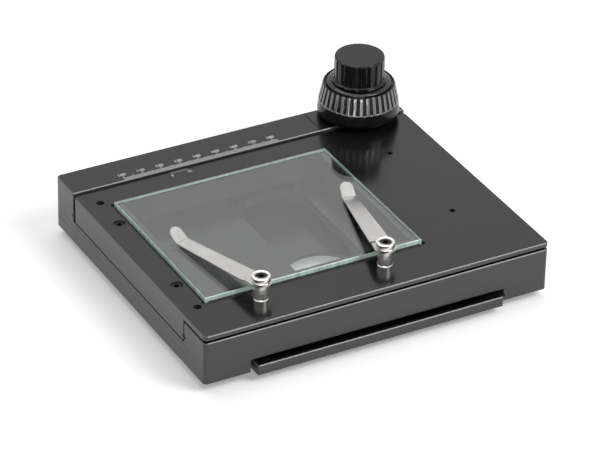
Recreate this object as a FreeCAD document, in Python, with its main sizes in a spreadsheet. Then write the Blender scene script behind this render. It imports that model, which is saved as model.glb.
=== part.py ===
import FreeCAD, Part
import math
import os
import re
import Sketcher

# Microscope xy stage, in millimetres.
# The origin is the centre of the round spigot's bottom face, on the light axis.
# X runs to the right along the scale, Y to the rear and Z up.

# Driving dimensions: name, value, meaning
SIZES = [
    ("stage_width", 180, "housing and top plate, along X"),
    ("stage_depth", 155, "housing, front face to rear face"),
    ("axis_to_front", 53, "light axis to the housing's front face"),
    ("corner_round", 2, "radius of the upright outer corners"),
    ("edge_chamfer", 0.4, "bevel along the machined top edges"),
    ("seam_chamfer", 0.25, "bevel along the seams of the sides"),
    ("slide_gap", 0.8, "gap beside the top slide"),
    ("fastener_gap", 0.2, "radial room round a screw's shank"),
    ("running_gap", 0.03, "radial room between a shaft and its bush"),
    ("part_gap", 0.1, "room between parts that move past each other"),
    ("ball_play", 0.03, "play of a ball in its races"),
    # Stand mounting
    ("spigot_radius", 47.25, "round spigot that drops into the stand"),
    ("spigot_height", 4, "height of the spigot"),
    ("spigot_bore", 30, "radius of the spigot's bore"),
    ("ring_recess", 0.6, "depth of the base plate's recess for the ring"),
    ("ring_relief", 1.25, "room round the ring in its recess"),
    ("ring_screw_circle", 38, "radius of the circle of ring screws"),
    ("ring_screw_count", 4, "screws through the base plate into the ring"),
    # Base plate
    ("base_thickness", 2.6, "web of the base plate"),
    ("base_edge_height", 5, "raised side edges and front lip"),
    ("base_edge_width", 8, "raised side edges"),
    ("lip_projection", 3.5, "front lip beyond the housing"),
    ("lip_thickness", 2.2, "front lip"),
    ("base_rear_inset", 0.5, "base plate's rear edge inside the housing"),
    ("light_hole_radius", 18, "light hole of the base plate"),
    # Middle slide
    ("ride_height", 0.3, "housing bottom above the base plate's bottom"),
    ("rail_height", 6, "bottom rails"),
    ("rail_width", 23.5, "bottom rails, housing side to inner face"),
    ("rail_gap", 2, "base plate's edge to the rail"),
    ("slide_plate_thickness", 3.3, "plate between the rails and the frame"),
    ("floor_thickness", 2, "floor of the frame"),
    ("front_block_depth", 20, "front block of the frame"),
    ("front_block_top", 10.4, "top of the front block above the floor"),
    ("rear_bar_depth", 18.8, "rear bar of the frame"),
    ("rear_bar_top", 1.3, "rear bar above the top plate"),
    ("apron_thickness", 2, "front apron that hides the slide plate"),
    ("slot_end_gap", 2, "base lip to the end of its slot"),
    ("slot_top_rise", 0.6, "slot above the rails"),
    ("slot_round", 0.5, "slot's rounded upper corner"),
    ("light_slot_front", 9.4, "light axis to the slot's front arc centre"),
    ("light_slot_rear", 45.6, "light axis to the slot's rear arc centre"),
    ("light_slot_radius", 18, "half the width of the light slot"),
    ("y_travel_front", 45.5, "travel towards the front"),
    ("y_travel_rear", 9.5, "travel towards the rear"),
    # Top slide
    ("floor_gap", 0.7, "under the top slide"),
    ("plate_height", 13.4, "top slide"),
    ("flange_thickness", 2.2, "front flange of the top slide"),
    ("glass_inset", 13.65, "top plate's left side to the glass"),
    ("glass_centre_y", 20, "glass centre behind the light axis"),
    ("glass_width", 112.9, "glass insert"),
    ("glass_depth", 93.5, "glass insert"),
    ("glass_thickness", 3.2, "glass insert"),
    ("glass_recess", 1.2, "depth of the glass seat"),
    ("glass_play", 0.3, "room round the glass"),
    ("glass_chamfer", 0.3, "ground edges of the glass"),
    ("seat_width", 4, "ledge that carries the glass"),
    ("seat_width_rear", 1.2, "rear ledge that carries the glass"),
    ("relief_radius", 1.6, "corner reliefs of the glass seat"),
    ("x_travel_left", 17, "travel to the left"),
    ("x_travel_right", 58, "travel to the right"),
    # Ball races
    ("x_ball_radius", 1.25, "balls beside the top slide"),
    ("x_race_height", 3.1, "ball centres above the frame's floor"),
    ("x_cage_length", 100, "ball strip"),
    ("x_cage_thickness", 0.4, "ball strip"),
    ("x_cage_height", 4.4, "ball strip"),
    ("y_ball_radius", 1.5, "balls beside the base plate"),
    ("y_race_height", 3.3, "ball centres above the base plate's bottom"),
    ("y_cage_length", 80, "ball strip"),
    ("y_cage_thickness", 1, "ball strip"),
    ("y_cage_height", 4, "ball strip"),
    ("y_cage_rear", 22, "middle of the ball strips behind the light axis"),
    ("balls_per_strip", 4, "balls in each strip"),
    ("cage_inset", 8, "end of a strip to its first ball"),
    # Rack and pinion drives
    ("gear_module", 0.5, "module of racks and pinions"),
    ("pinion_teeth", 22, "teeth of each pinion"),
    ("pressure_angle", 20, "degrees"),
    ("tooth_backlash", 0.12, "thinning of each tooth at the pitch line"),
    ("x_rack_length", 82, "rack of the top slide"),
    ("x_rack_height", 5, "rack of the top slide"),
    ("x_rack_depth", 7.5, "rack of the top slide, back to root"),
    ("x_rack_level", 6.4, "rack above the frame's floor"),
    ("x_rack_inset", 1.5, "rack's end to the plate's right end"),
    ("y_rack_length", 62, "rack of the base plate"),
    ("y_rack_depth", 3.9, "rack of the base plate, back to root"),
    ("y_rack_top_gap", 0.3, "rack under the frame's floor"),
    ("pocket_gap", 0.4, "room round racks and pinions"),
    ("y_pinion_height", 2.5, "lower pinion"),
    ("x_pinion_height", 5, "upper pinion"),
    ("pinion_hub_radius", 4.8, "hub of the upper pinion"),
    # Coaxial knobs
    ("knob_inset", 21.5, "knob axis to the housing's right side"),
    ("knob_from_rear", 11, "knob axis to the housing's rear face"),
    ("gear_block_width", 46.2, "gear block, seam to right side"),
    ("gear_block_roof", 3.6, "block above the pinion pocket"),
    ("inner_shaft_radius", 2, "shaft of the small knob"),
    ("hollow_shaft_radius", 3.5, "shaft of the large knob"),
    ("bush_wall", 1.5, "bronze bushes"),
    ("lower_bush_flange", 1, "flange of the lower bush"),
    ("lower_bush_flange_width", 1, "flange of the lower bush"),
    ("upper_bush_flange", 0.8, "thrust flange of the upper bush"),
    ("upper_bush_flange_radius", 8.5, "thrust flange of the upper bush"),
    ("knob_lift", 0.2, "large knob above the thrust flange"),
    ("bowl_radius", 20.3, "smooth bowl of the large knob, at its widest"),
    ("bowl_round", 2, "rounded foot of the bowl"),
    ("bowl_height", 7.2, "smooth bowl of the large knob"),
    ("band_radius", 19.7, "ribbed band of the large knob"),
    ("band_height", 9.2, "ribbed band of the large knob"),
    ("band_top_radius", 17.7, "top of the ribbed band"),
    ("band_rib_count", 36, "ribs of the large knob"),
    ("band_flute_radius", 1.15, "flutes between the ribs"),
    ("band_flute_depth", 0.75, "flutes between the ribs"),
    ("knob_recess_radius", 16.8, "recess in the large knob's top"),
    ("knob_recess_depth", 1.3, "recess in the large knob's top"),
    ("collar_radius", 15.9, "polished collar between the knobs"),
    ("collar_height", 2.4, "polished collar at its middle"),
    ("collar_rim", 1.4, "polished collar at its rim"),
    ("small_knob_radius", 12.3, "small knob"),
    ("small_knob_skirt", 13.6, "skirt of the small knob"),
    ("small_knob_skirt_height", 1.3, "skirt of the small knob"),
    ("small_knob_height", 13.2, "small knob"),
    ("small_knob_gap", 0.3, "small knob above the collar"),
    ("small_knob_round", 0.8, "top edge of the small knob"),
    ("small_knob_flutes", 18, "flutes of the small knob"),
    ("small_flute_radius", 1.1, "flutes of the small knob"),
    ("small_flute_depth", 0.55, "flutes of the small knob"),
    ("knob_screw_radius", 1.5, "grub screws of the knobs"),
    ("knob_screw_length", 5, "grub screws of the knobs"),
    # Specimen clips
    ("clip_post_spacing", 64.4, "left post to right post"),
    ("clip_post_front", 8.1, "posts in front of the glass"),
    ("post_radius", 3.4, "spacer sleeve of a post"),
    ("post_height", 8.1, "spacer sleeve of a post"),
    ("post_foot", 0.3, "foot flare of a sleeve"),
    ("post_neck_radius", 2.6, "neck on which a clip swivels"),
    ("clip_thickness", 0.6, "spring strip"),
    ("clip_eye_radius", 5.2, "round eye of a clip"),
    ("clip_arm_length", 57, "post axis to the bend that rests on a slide"),
    ("clip_bend_width", 6.9, "spring strip at its bend"),
    ("clip_tab_length", 4.7, "bend to the centre of the strip's round end"),
    ("clip_tab_radius", 3.3, "round end of the strip"),
    ("clip_tab_rise", 33, "degrees that the strip's end turns up"),
    ("clip_rest_angle", 12.2, "degrees that a clip splays at rest"),
    ("clip_tip_gap", 0.15, "bend above the glass"),
    ("clip_step", 1.2, "depth of the crank beside the eye"),
    ("clip_step_length", 3, "length of the crank beside the eye"),
    ("cap_radius", 4.45, "cap of a post"),
    ("cap_height", 3.3, "cap of a post"),
    ("cap_chamfer", 0.35, "edges of a cap"),
    ("socket_head_radius", 2.75, "post screw's head"),
    ("socket_head_height", 2.3, "post screw's head"),
    ("post_screw_radius", 1.5, "post screw"),
    # Small fasteners and plate details
    ("frame_screw_radius", 1.5, "screws that join frame and slide plate"),
    ("frame_screw_head", 2.6, "their heads"),
    ("frame_screw_head_height", 1.6, "their heads"),
    ("frame_screw_side", 16, "rear screws beside the light axis"),
    ("frame_screw_rear", 62, "rear screws behind the light axis"),
    ("rail_screw_count", 3, "screws in each rail"),
    ("rail_screw_inset", 14, "end of a rail to its first screw"),
    ("rack_screw_radius", 1, "rack screws"),
    ("rack_screw_head", 1.9, "rack screws' heads"),
    ("rack_screw_head_height", 1.2, "rack screws' heads"),
    ("rack_screw_setback", 2, "rack's back to its screws"),
    ("plate_screw_inset", 8.7, "left screws to the top plate's left side"),
    ("plate_screw_right_inset", 26, "right screws to the top plate's right side"),
    ("plate_screw_middle_y", 21.5, "middle of the screw rows"),
    ("plate_screw_half_pitch", 29.7, "screws before and behind the middle"),
    ("plate_screw_counterbore", 2.9, "counterbores of the left screws"),
    ("plate_screw_sink", 0.5, "screw heads below the plate's top"),
    ("plate_screw_depth", 6, "length of the plate screws"),
    ("pilot_hole_radius", 2, "open holes in the top plate"),
    ("pilot_hole_depth", 8, "open holes in the top plate"),
    ("pilot_half_pitch", 50.3, "open holes before and behind the middle"),
    ("vernier_width", 25, "vernier plate"),
    ("vernier_depth", 3.4, "vernier plate"),
    ("vernier_thickness", 0.6, "vernier plate"),
    ("vernier_x", -32.5, "vernier plate's middle"),
    ("stop_pin_radius", 2, "end stop pins"),
    ("x_stop_x", -20, "top slide's stop pin beside the light axis"),
    ("x_stop_y", 75, "top slide's stop pin behind the light axis"),
    ("y_stop_inset", 12, "base plate's stop pin to its left side"),
    ("y_stop_offset", 4, "base plate's stop pin beside the ring's recess"),
]

# Derived places: name, formula
LAYOUT = [
    ("half_width", "stage_width / 2"),
    ("front", "-axis_to_front"),
    ("rear", "front + stage_depth"),
    ("apron_rear", "front + apron_thickness"),
    ("block_rear", "front + front_block_depth"),
    ("bar_front", "rear - rear_bar_depth"),
    ("base_half", "half_width - rail_width - rail_gap"),
    ("base_bottom", "spigot_height"),
    ("ring_top", "base_bottom + ring_recess"),
    ("base_top", "base_bottom + base_thickness"),
    ("base_edge_top", "base_bottom + base_edge_height"),
    ("base_front", "front - lip_projection"),
    ("base_rear", "rear - base_rear_inset"),
    ("rail_bottom", "base_bottom + ride_height"),
    ("rail_top", "rail_bottom + rail_height"),
    ("rail_face", "base_half + rail_gap"),
    ("floor_bottom", "rail_top + slide_plate_thickness"),
    ("floor_top", "floor_bottom + floor_thickness"),
    ("block_top", "floor_top + front_block_top"),
    ("plate_bottom", "floor_top + floor_gap"),
    ("plate_top", "plate_bottom + plate_height"),
    ("flange_bottom", "plate_top - flange_thickness"),
    ("plate_front", "block_rear + slide_gap"),
    ("plate_rear", "bar_front - slide_gap"),
    ("bar_top", "plate_top + rear_bar_top"),
    ("slot_left", "-base_half - slot_end_gap"),
    ("slot_right", "base_half + slot_end_gap"),
    ("slot_top", "rail_top + slot_top_rise"),
    ("x_race_level", "floor_top + x_race_height"),
    ("x_groove", "x_ball_radius * sqrt(2) + ball_play - slide_gap / 2"),
    ("y_race_level", "base_bottom + y_race_height"),
    ("y_groove", "y_ball_radius * sqrt(2) + ball_play - rail_gap / 2"),
    ("glass_bottom", "plate_top - glass_recess"),
    ("glass_top", "glass_bottom + glass_thickness"),
    ("glass_left", "glass_inset - half_width"),
    ("glass_right", "glass_left + glass_width"),
    ("glass_centre_x", "glass_left + glass_width / 2"),
    ("glass_front", "glass_centre_y - glass_depth / 2"),
    ("glass_rear", "glass_centre_y + glass_depth / 2"),
    ("knob_x", "half_width - knob_inset"),
    ("knob_y", "rear - knob_from_rear"),
    ("gear_block_left", "half_width - gear_block_width"),
    ("plate_screw_x", "half_width - plate_screw_inset"),
    ("plate_screw_right_x", "half_width - plate_screw_right_inset"),
    ("pitch_radius", "gear_module * pinion_teeth / 2"),
    ("tip_radius", "pitch_radius + gear_module"),
    ("root_radius", "pitch_radius - 1.25 * gear_module"),
    ("tooth_pitch", "gear_module * pi"),
    ("pinion_pocket", "tip_radius + pocket_gap"),
    ("x_rack_root", "knob_y - pitch_radius - 1.25 * gear_module"),
    ("x_rack_tip", "knob_y - pitch_radius + gear_module"),
    ("x_rack_back", "x_rack_root - x_rack_depth"),
    ("x_rack_bottom", "floor_top + x_rack_level"),
    ("x_rack_top", "x_rack_bottom + x_rack_height"),
    ("x_rack_right", "half_width - x_rack_inset"),
    ("x_rack_left", "x_rack_right - x_rack_length"),
    ("x_channel_left", "x_rack_left - x_travel_left - pocket_gap"),
    ("x_rack_lead", "mod(knob_x - x_rack_left; tooth_pitch)"),
    ("y_rack_lead", "mod(base_rear - knob_y; tooth_pitch)"),
    ("y_rack_root", "knob_x - pitch_radius - 1.25 * gear_module"),
    ("y_rack_tip", "knob_x - pitch_radius + gear_module"),
    ("y_rack_back", "y_rack_root - y_rack_depth"),
    ("y_rack_top", "floor_bottom - y_rack_top_gap"),
    ("y_rack_height", "y_rack_top - base_edge_top"),
    ("y_rack_front", "base_rear - y_rack_length"),
    ("y_channel_front", "y_rack_front - y_travel_rear - pocket_gap"),
    ("bush_radius", "hollow_shaft_radius + bush_wall"),
    ("pocket_top", "bar_top - gear_block_roof"),
    ("bush_top", "bar_top + upper_bush_flange"),
    ("bowl_bottom", "bush_top + knob_lift"),
    ("band_bottom", "bowl_bottom + bowl_height"),
    ("band_top", "band_bottom + band_height"),
    ("recess_floor", "band_top - knob_recess_depth"),
    ("collar_top", "recess_floor + collar_height"),
    ("small_knob_bottom", "collar_top + small_knob_gap"),
    ("small_knob_top", "small_knob_bottom + small_knob_height"),
    ("clip_left_x", "glass_centre_x - clip_post_spacing / 2"),
    ("clip_right_x", "glass_centre_x + clip_post_spacing / 2"),
    ("clip_y", "glass_front - clip_post_front"),
    ("eye_bottom", "plate_top + post_height + part_gap"),
    ("eye_top", "eye_bottom + clip_thickness"),
    ("neck_top", "eye_top + part_gap"),
    ("cap_top", "neck_top + cap_height"),
    ("tip_bottom", "glass_top + clip_tip_gap"),
    ("y_stop_x", "y_stop_inset - base_half"),
    ("y_stop_reach", "spigot_radius + ring_relief + y_stop_offset"),
    ("y_stop_y", "-sqrt(max(y_stop_reach ^ 2 - y_stop_x ^ 2; 0))"),
]

doc = FreeCAD.newDocument("MicroscopeStage")
sizes = doc.addObject("Spreadsheet::Sheet", "sizes")
layout = doc.addObject("Spreadsheet::Sheet", "layout")
SHEET_OF = {name: "sizes" for name, _, _ in SIZES}
SHEET_OF.update({name: "layout" for name, _ in LAYOUT})
NODES = []


def ref(formula):
    """Return a formula with each size's name led by the sheet that holds it."""
    def full(match):
        word = match.group(0)
        return SHEET_OF[word] + "." + word if word in SHEET_OF else word
    return re.sub(r"[A-Za-z_]\w*", full, str(formula))


def number(formula):
    """Work out a formula of named sizes."""
    return float(sizes.evalExpression(ref(formula)))


def bind(thing, prop, formula):
    """Tie a property of an object to a formula of named sizes."""
    thing.setExpression(prop, ref(formula))


def fill_sheets():
    """Write the driving dimensions and the places that follow from them."""
    for row, (name, value, meaning) in enumerate(SIZES, start=1):
        sizes.set("A%d" % row, name)
        sizes.set("B%d" % row, str(value))
        sizes.set("C%d" % row, meaning)
        sizes.setAlias("B%d" % row, name)
    for row, (name, formula) in enumerate(LAYOUT, start=1):
        local = ref(formula).replace("layout.", "")
        layout.set("A%d" % row, name)
        layout.set("B%d" % row, "=" + local)
        layout.setAlias("B%d" % row, name)
    doc.recompute()


# Helpers for bodies, sketches and features


def new_body(name):
    """Start a sub-part as a body of its own."""
    body = doc.addObject("PartDesign::Body", name)
    body.Label = name
    NODES.append(body)
    return body


def new_sketch(body, name, role="XY_Plane", height="0"):
    """Attach a sketch to one of the body's own planes, shifted along its normal."""
    plane = [item for item in body.Origin.OriginFeatures if item.Role == role][0]
    sketch = body.newObject("Sketcher::SketchObject", name)
    sketch.AttachmentSupport = (plane, [""])
    sketch.MapMode = "FlatFace"
    if height != "0":
        bind(sketch, "AttachmentOffset.Base.z", height)
    return sketch


def fix_point(sketch, edge, point, x, y):
    """Hold a sketch point at two formulas, measured from the sketch's origin."""
    for kind, formula, axis in (("DistanceX", x, -2), ("DistanceY", y, -1)):
        if str(formula) == "0":
            sketch.addConstraint(Sketcher.Constraint("PointOnObject", edge, point, axis))
            continue
        index = sketch.addConstraint(
            Sketcher.Constraint(kind, -1, 1, edge, point, number(formula)))
        sketch.setExpression("Constraints[%d]" % index, ref(formula))


def polygon(sketch, corners):
    """Draw a closed outline with straight sides."""
    first = sketch.GeometryCount
    spots = [FreeCAD.Vector(number(x), number(y), 0) for x, y in corners]
    count = len(spots)
    for i in range(count):
        sketch.addGeometry(Part.LineSegment(spots[i], spots[(i + 1) % count]))
    for i in range(count):
        after = first + (i + 1) % count
        sketch.addConstraint(Sketcher.Constraint("Coincident", first + i, 2, after, 1))
    for i, (x, y) in enumerate(corners):
        fix_point(sketch, first + i, 1, x, y)


def rectangle(sketch, left, front, right, rear):
    """Draw a rectangle between two corners."""
    polygon(sketch, [(left, front), (right, front), (right, rear), (left, rear)])


def circle(sketch, x, y, radius):
    """Draw a circle at a place."""
    spot = FreeCAD.Vector(number(x), number(y), 0)
    up = FreeCAD.Vector(0, 0, 1)
    edge = sketch.addGeometry(Part.Circle(spot, up, number(radius)))
    index = sketch.addConstraint(Sketcher.Constraint("Radius", edge, number(radius)))
    sketch.setExpression("Constraints[%d]" % index, ref(radius))
    fix_point(sketch, edge, 3, x, y)


def obround(sketch, x0, y0, x1, y1, radius):
    """Draw a slot with round ends between two arc centres, along X or Y."""
    start = FreeCAD.Vector(number(x0), number(y0), 0)
    end = FreeCAD.Vector(number(x1), number(y1), 0)
    along = end.sub(start).normalize()
    side = FreeCAD.Vector(-along.y, along.x, 0).multiply(number(radius))
    lean = math.atan2(along.y, along.x)
    up = FreeCAD.Vector(0, 0, 1)
    quarter = math.pi / 2
    first = sketch.GeometryCount
    far = Part.Circle(end, up, number(radius))
    near = Part.Circle(start, up, number(radius))
    sketch.addGeometry(Part.ArcOfCircle(far, lean - quarter, lean + quarter))
    sketch.addGeometry(Part.LineSegment(end.add(side), start.add(side)))
    sketch.addGeometry(Part.ArcOfCircle(near, lean + quarter, lean + 3 * quarter))
    sketch.addGeometry(Part.LineSegment(start.sub(side), end.sub(side)))
    for i in range(4):
        after = first + (i + 1) % 4
        sketch.addConstraint(Sketcher.Constraint("Tangent", first + i, 2, after, 1))
    index = sketch.addConstraint(Sketcher.Constraint("Radius", first, number(radius)))
    sketch.setExpression("Constraints[%d]" % index, ref(radius))
    sketch.addConstraint(Sketcher.Constraint("Equal", first, first + 2))
    fix_point(sketch, first, 3, x1, y1)
    fix_point(sketch, first + 2, 3, x0, y0)


def pad(body, name, sketch, length, symmetric=False, reverse=False):
    """Raise a sketch into the body."""
    feature = body.newObject("PartDesign::Pad", name)
    feature.Profile = sketch
    bind(feature, "Length", length)
    if symmetric:
        feature.SideType = "Symmetric"
    feature.Reversed = reverse
    doc.recompute()
    return feature


def pocket(body, name, sketch, depth, symmetric=False, reverse=False):
    """Cut a sketch out of the body and check that the cut removes something."""
    before = body.Shape.Volume
    feature = body.newObject("PartDesign::Pocket", name)
    feature.Profile = sketch
    bind(feature, "Length", depth)
    if symmetric:
        feature.SideType = "Symmetric"
    feature.Reversed = reverse
    doc.recompute()
    if not body.Shape.Volume < before - 1e-6:
        raise RuntimeError(body.Label + ": " + name + " removes nothing")
    return feature


def polar(body, name, feature, count):
    """Repeat a feature round the body's own Z axis."""
    axis = [item for item in body.Origin.OriginFeatures if item.Role == "Z_Axis"][0]
    before = body.Shape.Volume
    pattern = body.newObject("PartDesign::PolarPattern", name)
    pattern.Originals = [feature]
    pattern.Axis = (axis, [""])
    pattern.Angle = 360
    bind(pattern, "Occurrences", count)
    body.Tip = pattern
    doc.recompute()
    if abs(body.Shape.Volume - before) < 1e-6:
        raise RuntimeError(body.Label + ": " + name + " repeats nothing")
    return pattern


def linear(body, name, feature, role, length, count):
    """Repeat a feature along one of the body's own axes."""
    axis = [item for item in body.Origin.OriginFeatures if item.Role == role][0]
    pattern = body.newObject("PartDesign::LinearPattern", name)
    pattern.Originals = [feature]
    pattern.Direction = (axis, [""])
    bind(pattern, "Length", length)
    bind(pattern, "Occurrences", count)
    body.Tip = pattern
    doc.recompute()
    return pattern


def revolve(body, name, profile, axis_sketch="XZ_Plane"):
    """Turn a closed profile of radius and height round the Z axis."""
    sketch = new_sketch(body, name + "Profile", axis_sketch)
    polygon(sketch, profile)
    feature = body.newObject("PartDesign::Revolution", name)
    feature.Profile = sketch
    feature.ReferenceAxis = (sketch, ["V_Axis"])
    feature.Angle = 360
    doc.recompute()
    return feature


def edges_where(shape, test):
    """Name the straight edges whose two ends both pass a test."""
    names = []
    for index, edge in enumerate(shape.Edges, start=1):
        if len(edge.Vertexes) == 2 and edge.Curve.TypeId == "Part::GeomLine":
            ends = [vertex.Point for vertex in edge.Vertexes]
            if all(test(point) for point in ends):
                names.append("Edge%d" % index)
    return names


def near(value, formula):
    """Tell whether a coordinate lies on a formula's value."""
    return abs(value - number(formula)) < 1e-4


def upright_edges(shape, places):
    """Name the upright edges that stand at the given X and Y formulas."""
    def stands(point):
        return any(near(point.x, x) and near(point.y, y) for x, y in places)
    names = []
    for name in edges_where(shape, stands):
        edge = shape.Edges[int(name[4:]) - 1]
        if abs(edge.tangentAt(edge.FirstParameter).z) > 0.99:
            names.append(name)
    return names


def fillet(body, name, edges, radius):
    """Round the named edges of the body."""
    before = body.Tip
    feature = body.newObject("PartDesign::Fillet", name)
    feature.Base = (before, edges)
    bind(feature, "Radius", radius)
    doc.recompute()
    return feature


def chamfer(body, name, edges, size):
    """Bevel the named edges of the body."""
    before = body.Tip
    feature = body.newObject("PartDesign::Chamfer", name)
    feature.Base = (before, edges)
    bind(feature, "Size", size)
    doc.recompute()
    return feature


def rim_edges(shape, level, inside=None):
    """Name the edges that lie wholly at one level, apart from those inside a box."""
    names = []
    for index, edge in enumerate(shape.Edges, start=1):
        box = edge.BoundBox
        if abs(box.ZMin - number(level)) > 1e-4 or abs(box.ZMax - number(level)) > 1e-4:
            continue
        if inside is None or inside(box):
            names.append("Edge%d" % index)
    return names


def primitive(kind, name, at, **values):
    """Add a Part primitive with its sizes and place tied to formulas."""
    item = doc.addObject("Part::" + kind, name)
    for prop, formula in values.items():
        bind(item, prop, formula)
    for axis, formula in zip("xyz", at):
        bind(item, "Placement.Base." + axis, formula)
    return item


def group(name, members):
    """Keep identical pieces together as separate solids of one sub-part."""
    compound = doc.addObject("Part::Compound", name)
    compound.Label = name
    compound.Links = members
    NODES.append(compound)
    return compound


def cap_screw(name, x, y, seat, head, head_height, shank, length, upwards=False):
    """Make one cylinder-head screw with a hex socket; the seat is under its head."""
    if upwards:
        head_low = "%s - (%s)" % (seat, head_height)
        shank_low = seat
        socket_low = head_low
    else:
        head_low = seat
        shank_low = "%s - (%s)" % (seat, length)
        socket_low = "%s + (%s) * 0.4" % (seat, head_height)
    top = primitive("Cylinder", name + "Head", (x, y, head_low),
                    Radius=head, Height=head_height)
    stem = primitive("Cylinder", name + "Shank", (x, y, shank_low),
                     Radius=shank, Height=length)
    socket = primitive("Prism", name + "Socket", (x, y, socket_low),
                       Circumradius="(%s) * 0.5" % head,
                       Height="(%s) * 0.6" % head_height)
    socket.Polygon = 6
    whole = doc.addObject("Part::MultiFuse", name + "Blank")
    whole.Shapes = [top, stem]
    screw = doc.addObject("Part::Cut", name)
    screw.Base = whole
    screw.Tool = socket
    return screw


def grub_screw(name, x, y, top, radius, length):
    """Make one grub screw with a hex socket in its upper end."""
    stem = primitive("Cylinder", name + "Stem", (x, y, "%s - (%s)" % (top, length)),
                     Radius=radius, Height=length)
    socket = primitive("Prism", name + "Socket", (x, y, "%s - (%s) * 0.4" % (top, length)),
                       Circumradius="(%s) * 0.6" % radius,
                       Height="(%s) * 0.4" % length)
    socket.Polygon = 6
    screw = doc.addObject("Part::Cut", name)
    screw.Base = stem
    screw.Tool = socket
    return screw


# Fixed base


def ring_screw_places():
    """Give the places of the screws that hold the spigot ring."""
    count = int(number("ring_screw_count"))
    for i in range(count):
        angle = "(360 / ring_screw_count * %d + 45)" % i
        yield "ring_screw_circle * cos(%s)" % angle, "ring_screw_circle * sin(%s)" % angle


def make_mounting_ring():
    """Turned spigot ring that centres the stage in the stand."""
    body = new_body("mounting_ring")
    ring = new_sketch(body, "RingOutline")
    circle(ring, "0", "0", "spigot_radius")
    circle(ring, "0", "0", "spigot_bore")
    pad(body, "Ring", ring, "ring_top")
    rim = rim_edges(body.Shape, "0", lambda box: box.XLength > number("spigot_bore * 2.5"))
    chamfer(body, "LeadIn", rim, "edge_chamfer")
    hole = new_sketch(body, "ScrewHoleOutline", height="ring_top")
    circle(hole, *next(ring_screw_places()), "frame_screw_radius")
    first = pocket(body, "ScrewHole", hole, "ring_top - edge_chamfer")
    polar(body, "ScrewHoles", first, "ring_screw_count")


def make_base_plate():
    """Fixed plate with a recess for the ring, raised race edges and a front lip."""
    body = new_body("base_plate")
    web = new_sketch(body, "WebOutline", height="base_bottom")
    rectangle(web, "-base_half", "base_front", "base_half", "base_rear")
    pad(body, "Web", web, "base_thickness")
    rim = new_sketch(body, "EdgeOutline", height="base_top")
    inner = "base_half - base_edge_width"
    lip_rear = "base_front + lip_thickness"
    polygon(rim, [("-base_half", "base_front"), ("base_half", "base_front"),
                  ("base_half", "base_rear"), (inner, "base_rear"),
                  (inner, lip_rear), ("-(%s)" % inner, lip_rear),
                  ("-(%s)" % inner, "base_rear"), ("-base_half", "base_rear")])
    pad(body, "RaisedEdges", rim, "base_edge_height - base_thickness")
    races = new_sketch(body, "RaceProfile", "XZ_Plane", "-base_front - lip_thickness")
    for side in ("", "-"):
        face = side + "base_half"
        apex = "%s(base_half - y_groove)" % side
        polygon(races, [(face, "y_race_level - y_groove"), (apex, "y_race_level"),
                        (face, "y_race_level + y_groove")])
    pocket(body, "Races", races, "stage_depth * 2", reverse=False)
    seat = new_sketch(body, "RingRecessOutline", height="ring_top")
    circle(seat, "0", "0", "spigot_radius + ring_relief")
    pocket(body, "RingRecess", seat, "ring_recess")
    light = new_sketch(body, "LightHoleOutline", height="base_top")
    circle(light, "0", "0", "light_hole_radius")
    pocket(body, "LightHole", light, "base_thickness")
    hole = new_sketch(body, "RingScrewOutline", height="base_top")
    circle(hole, *next(ring_screw_places()), "frame_screw_radius + fastener_gap")
    first = pocket(body, "RingScrewHole", hole, "base_thickness")
    polar(body, "RingScrewHoles", first, "ring_screw_count")
    stop = new_sketch(body, "StopPinOutline", height="base_top")
    circle(stop, "y_stop_x", "y_stop_y", "stop_pin_radius")
    pocket(body, "StopPinHole", stop, "base_thickness")
    rack = new_sketch(body, "RackScrewOutline", height="base_edge_top")
    for y in y_rack_screws():
        circle(rack, "y_rack_back + rack_screw_setback", y, "rack_screw_radius + fastener_gap")
    pocket(body, "RackScrewHoles", rack, "base_edge_height")
    heads = new_sketch(body, "RackHeadOutline", height="base_bottom + rack_screw_head_height")
    for y in y_rack_screws():
        circle(heads, "y_rack_back + rack_screw_setback", y, "rack_screw_head + fastener_gap")
    pocket(body, "RackHeadHoles", heads, "rack_screw_head_height")
    corners = [(side + "base_half", "base_front") for side in ("", "-")]
    fillet(body, "LipCorners", upright_edges(body.Shape, corners), "edge_chamfer * 2")
    lip = rim_edges(body.Shape, "base_edge_top",
                    lambda box: box.YMax < number("base_front + edge_chamfer"))
    chamfer(body, "LipBevel", lip, "edge_chamfer")


def y_rack_screws():
    """Give the places of the base rack's screws along Y."""
    return ("y_rack_front + y_rack_length * 0.1", "y_rack_front + y_rack_length * 0.9")


def make_ring_screws():
    """Cap screws that hold the spigot ring under the base plate."""
    members = []
    for i, (x, y) in enumerate(ring_screw_places()):
        members.append(cap_screw("RingScrew%d" % i, x, y, "base_top", "frame_screw_head",
                                 "frame_screw_head_height", "frame_screw_radius",
                                 "base_thickness + spigot_height - edge_chamfer * 2"))
    group("ring_screws", members)


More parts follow.
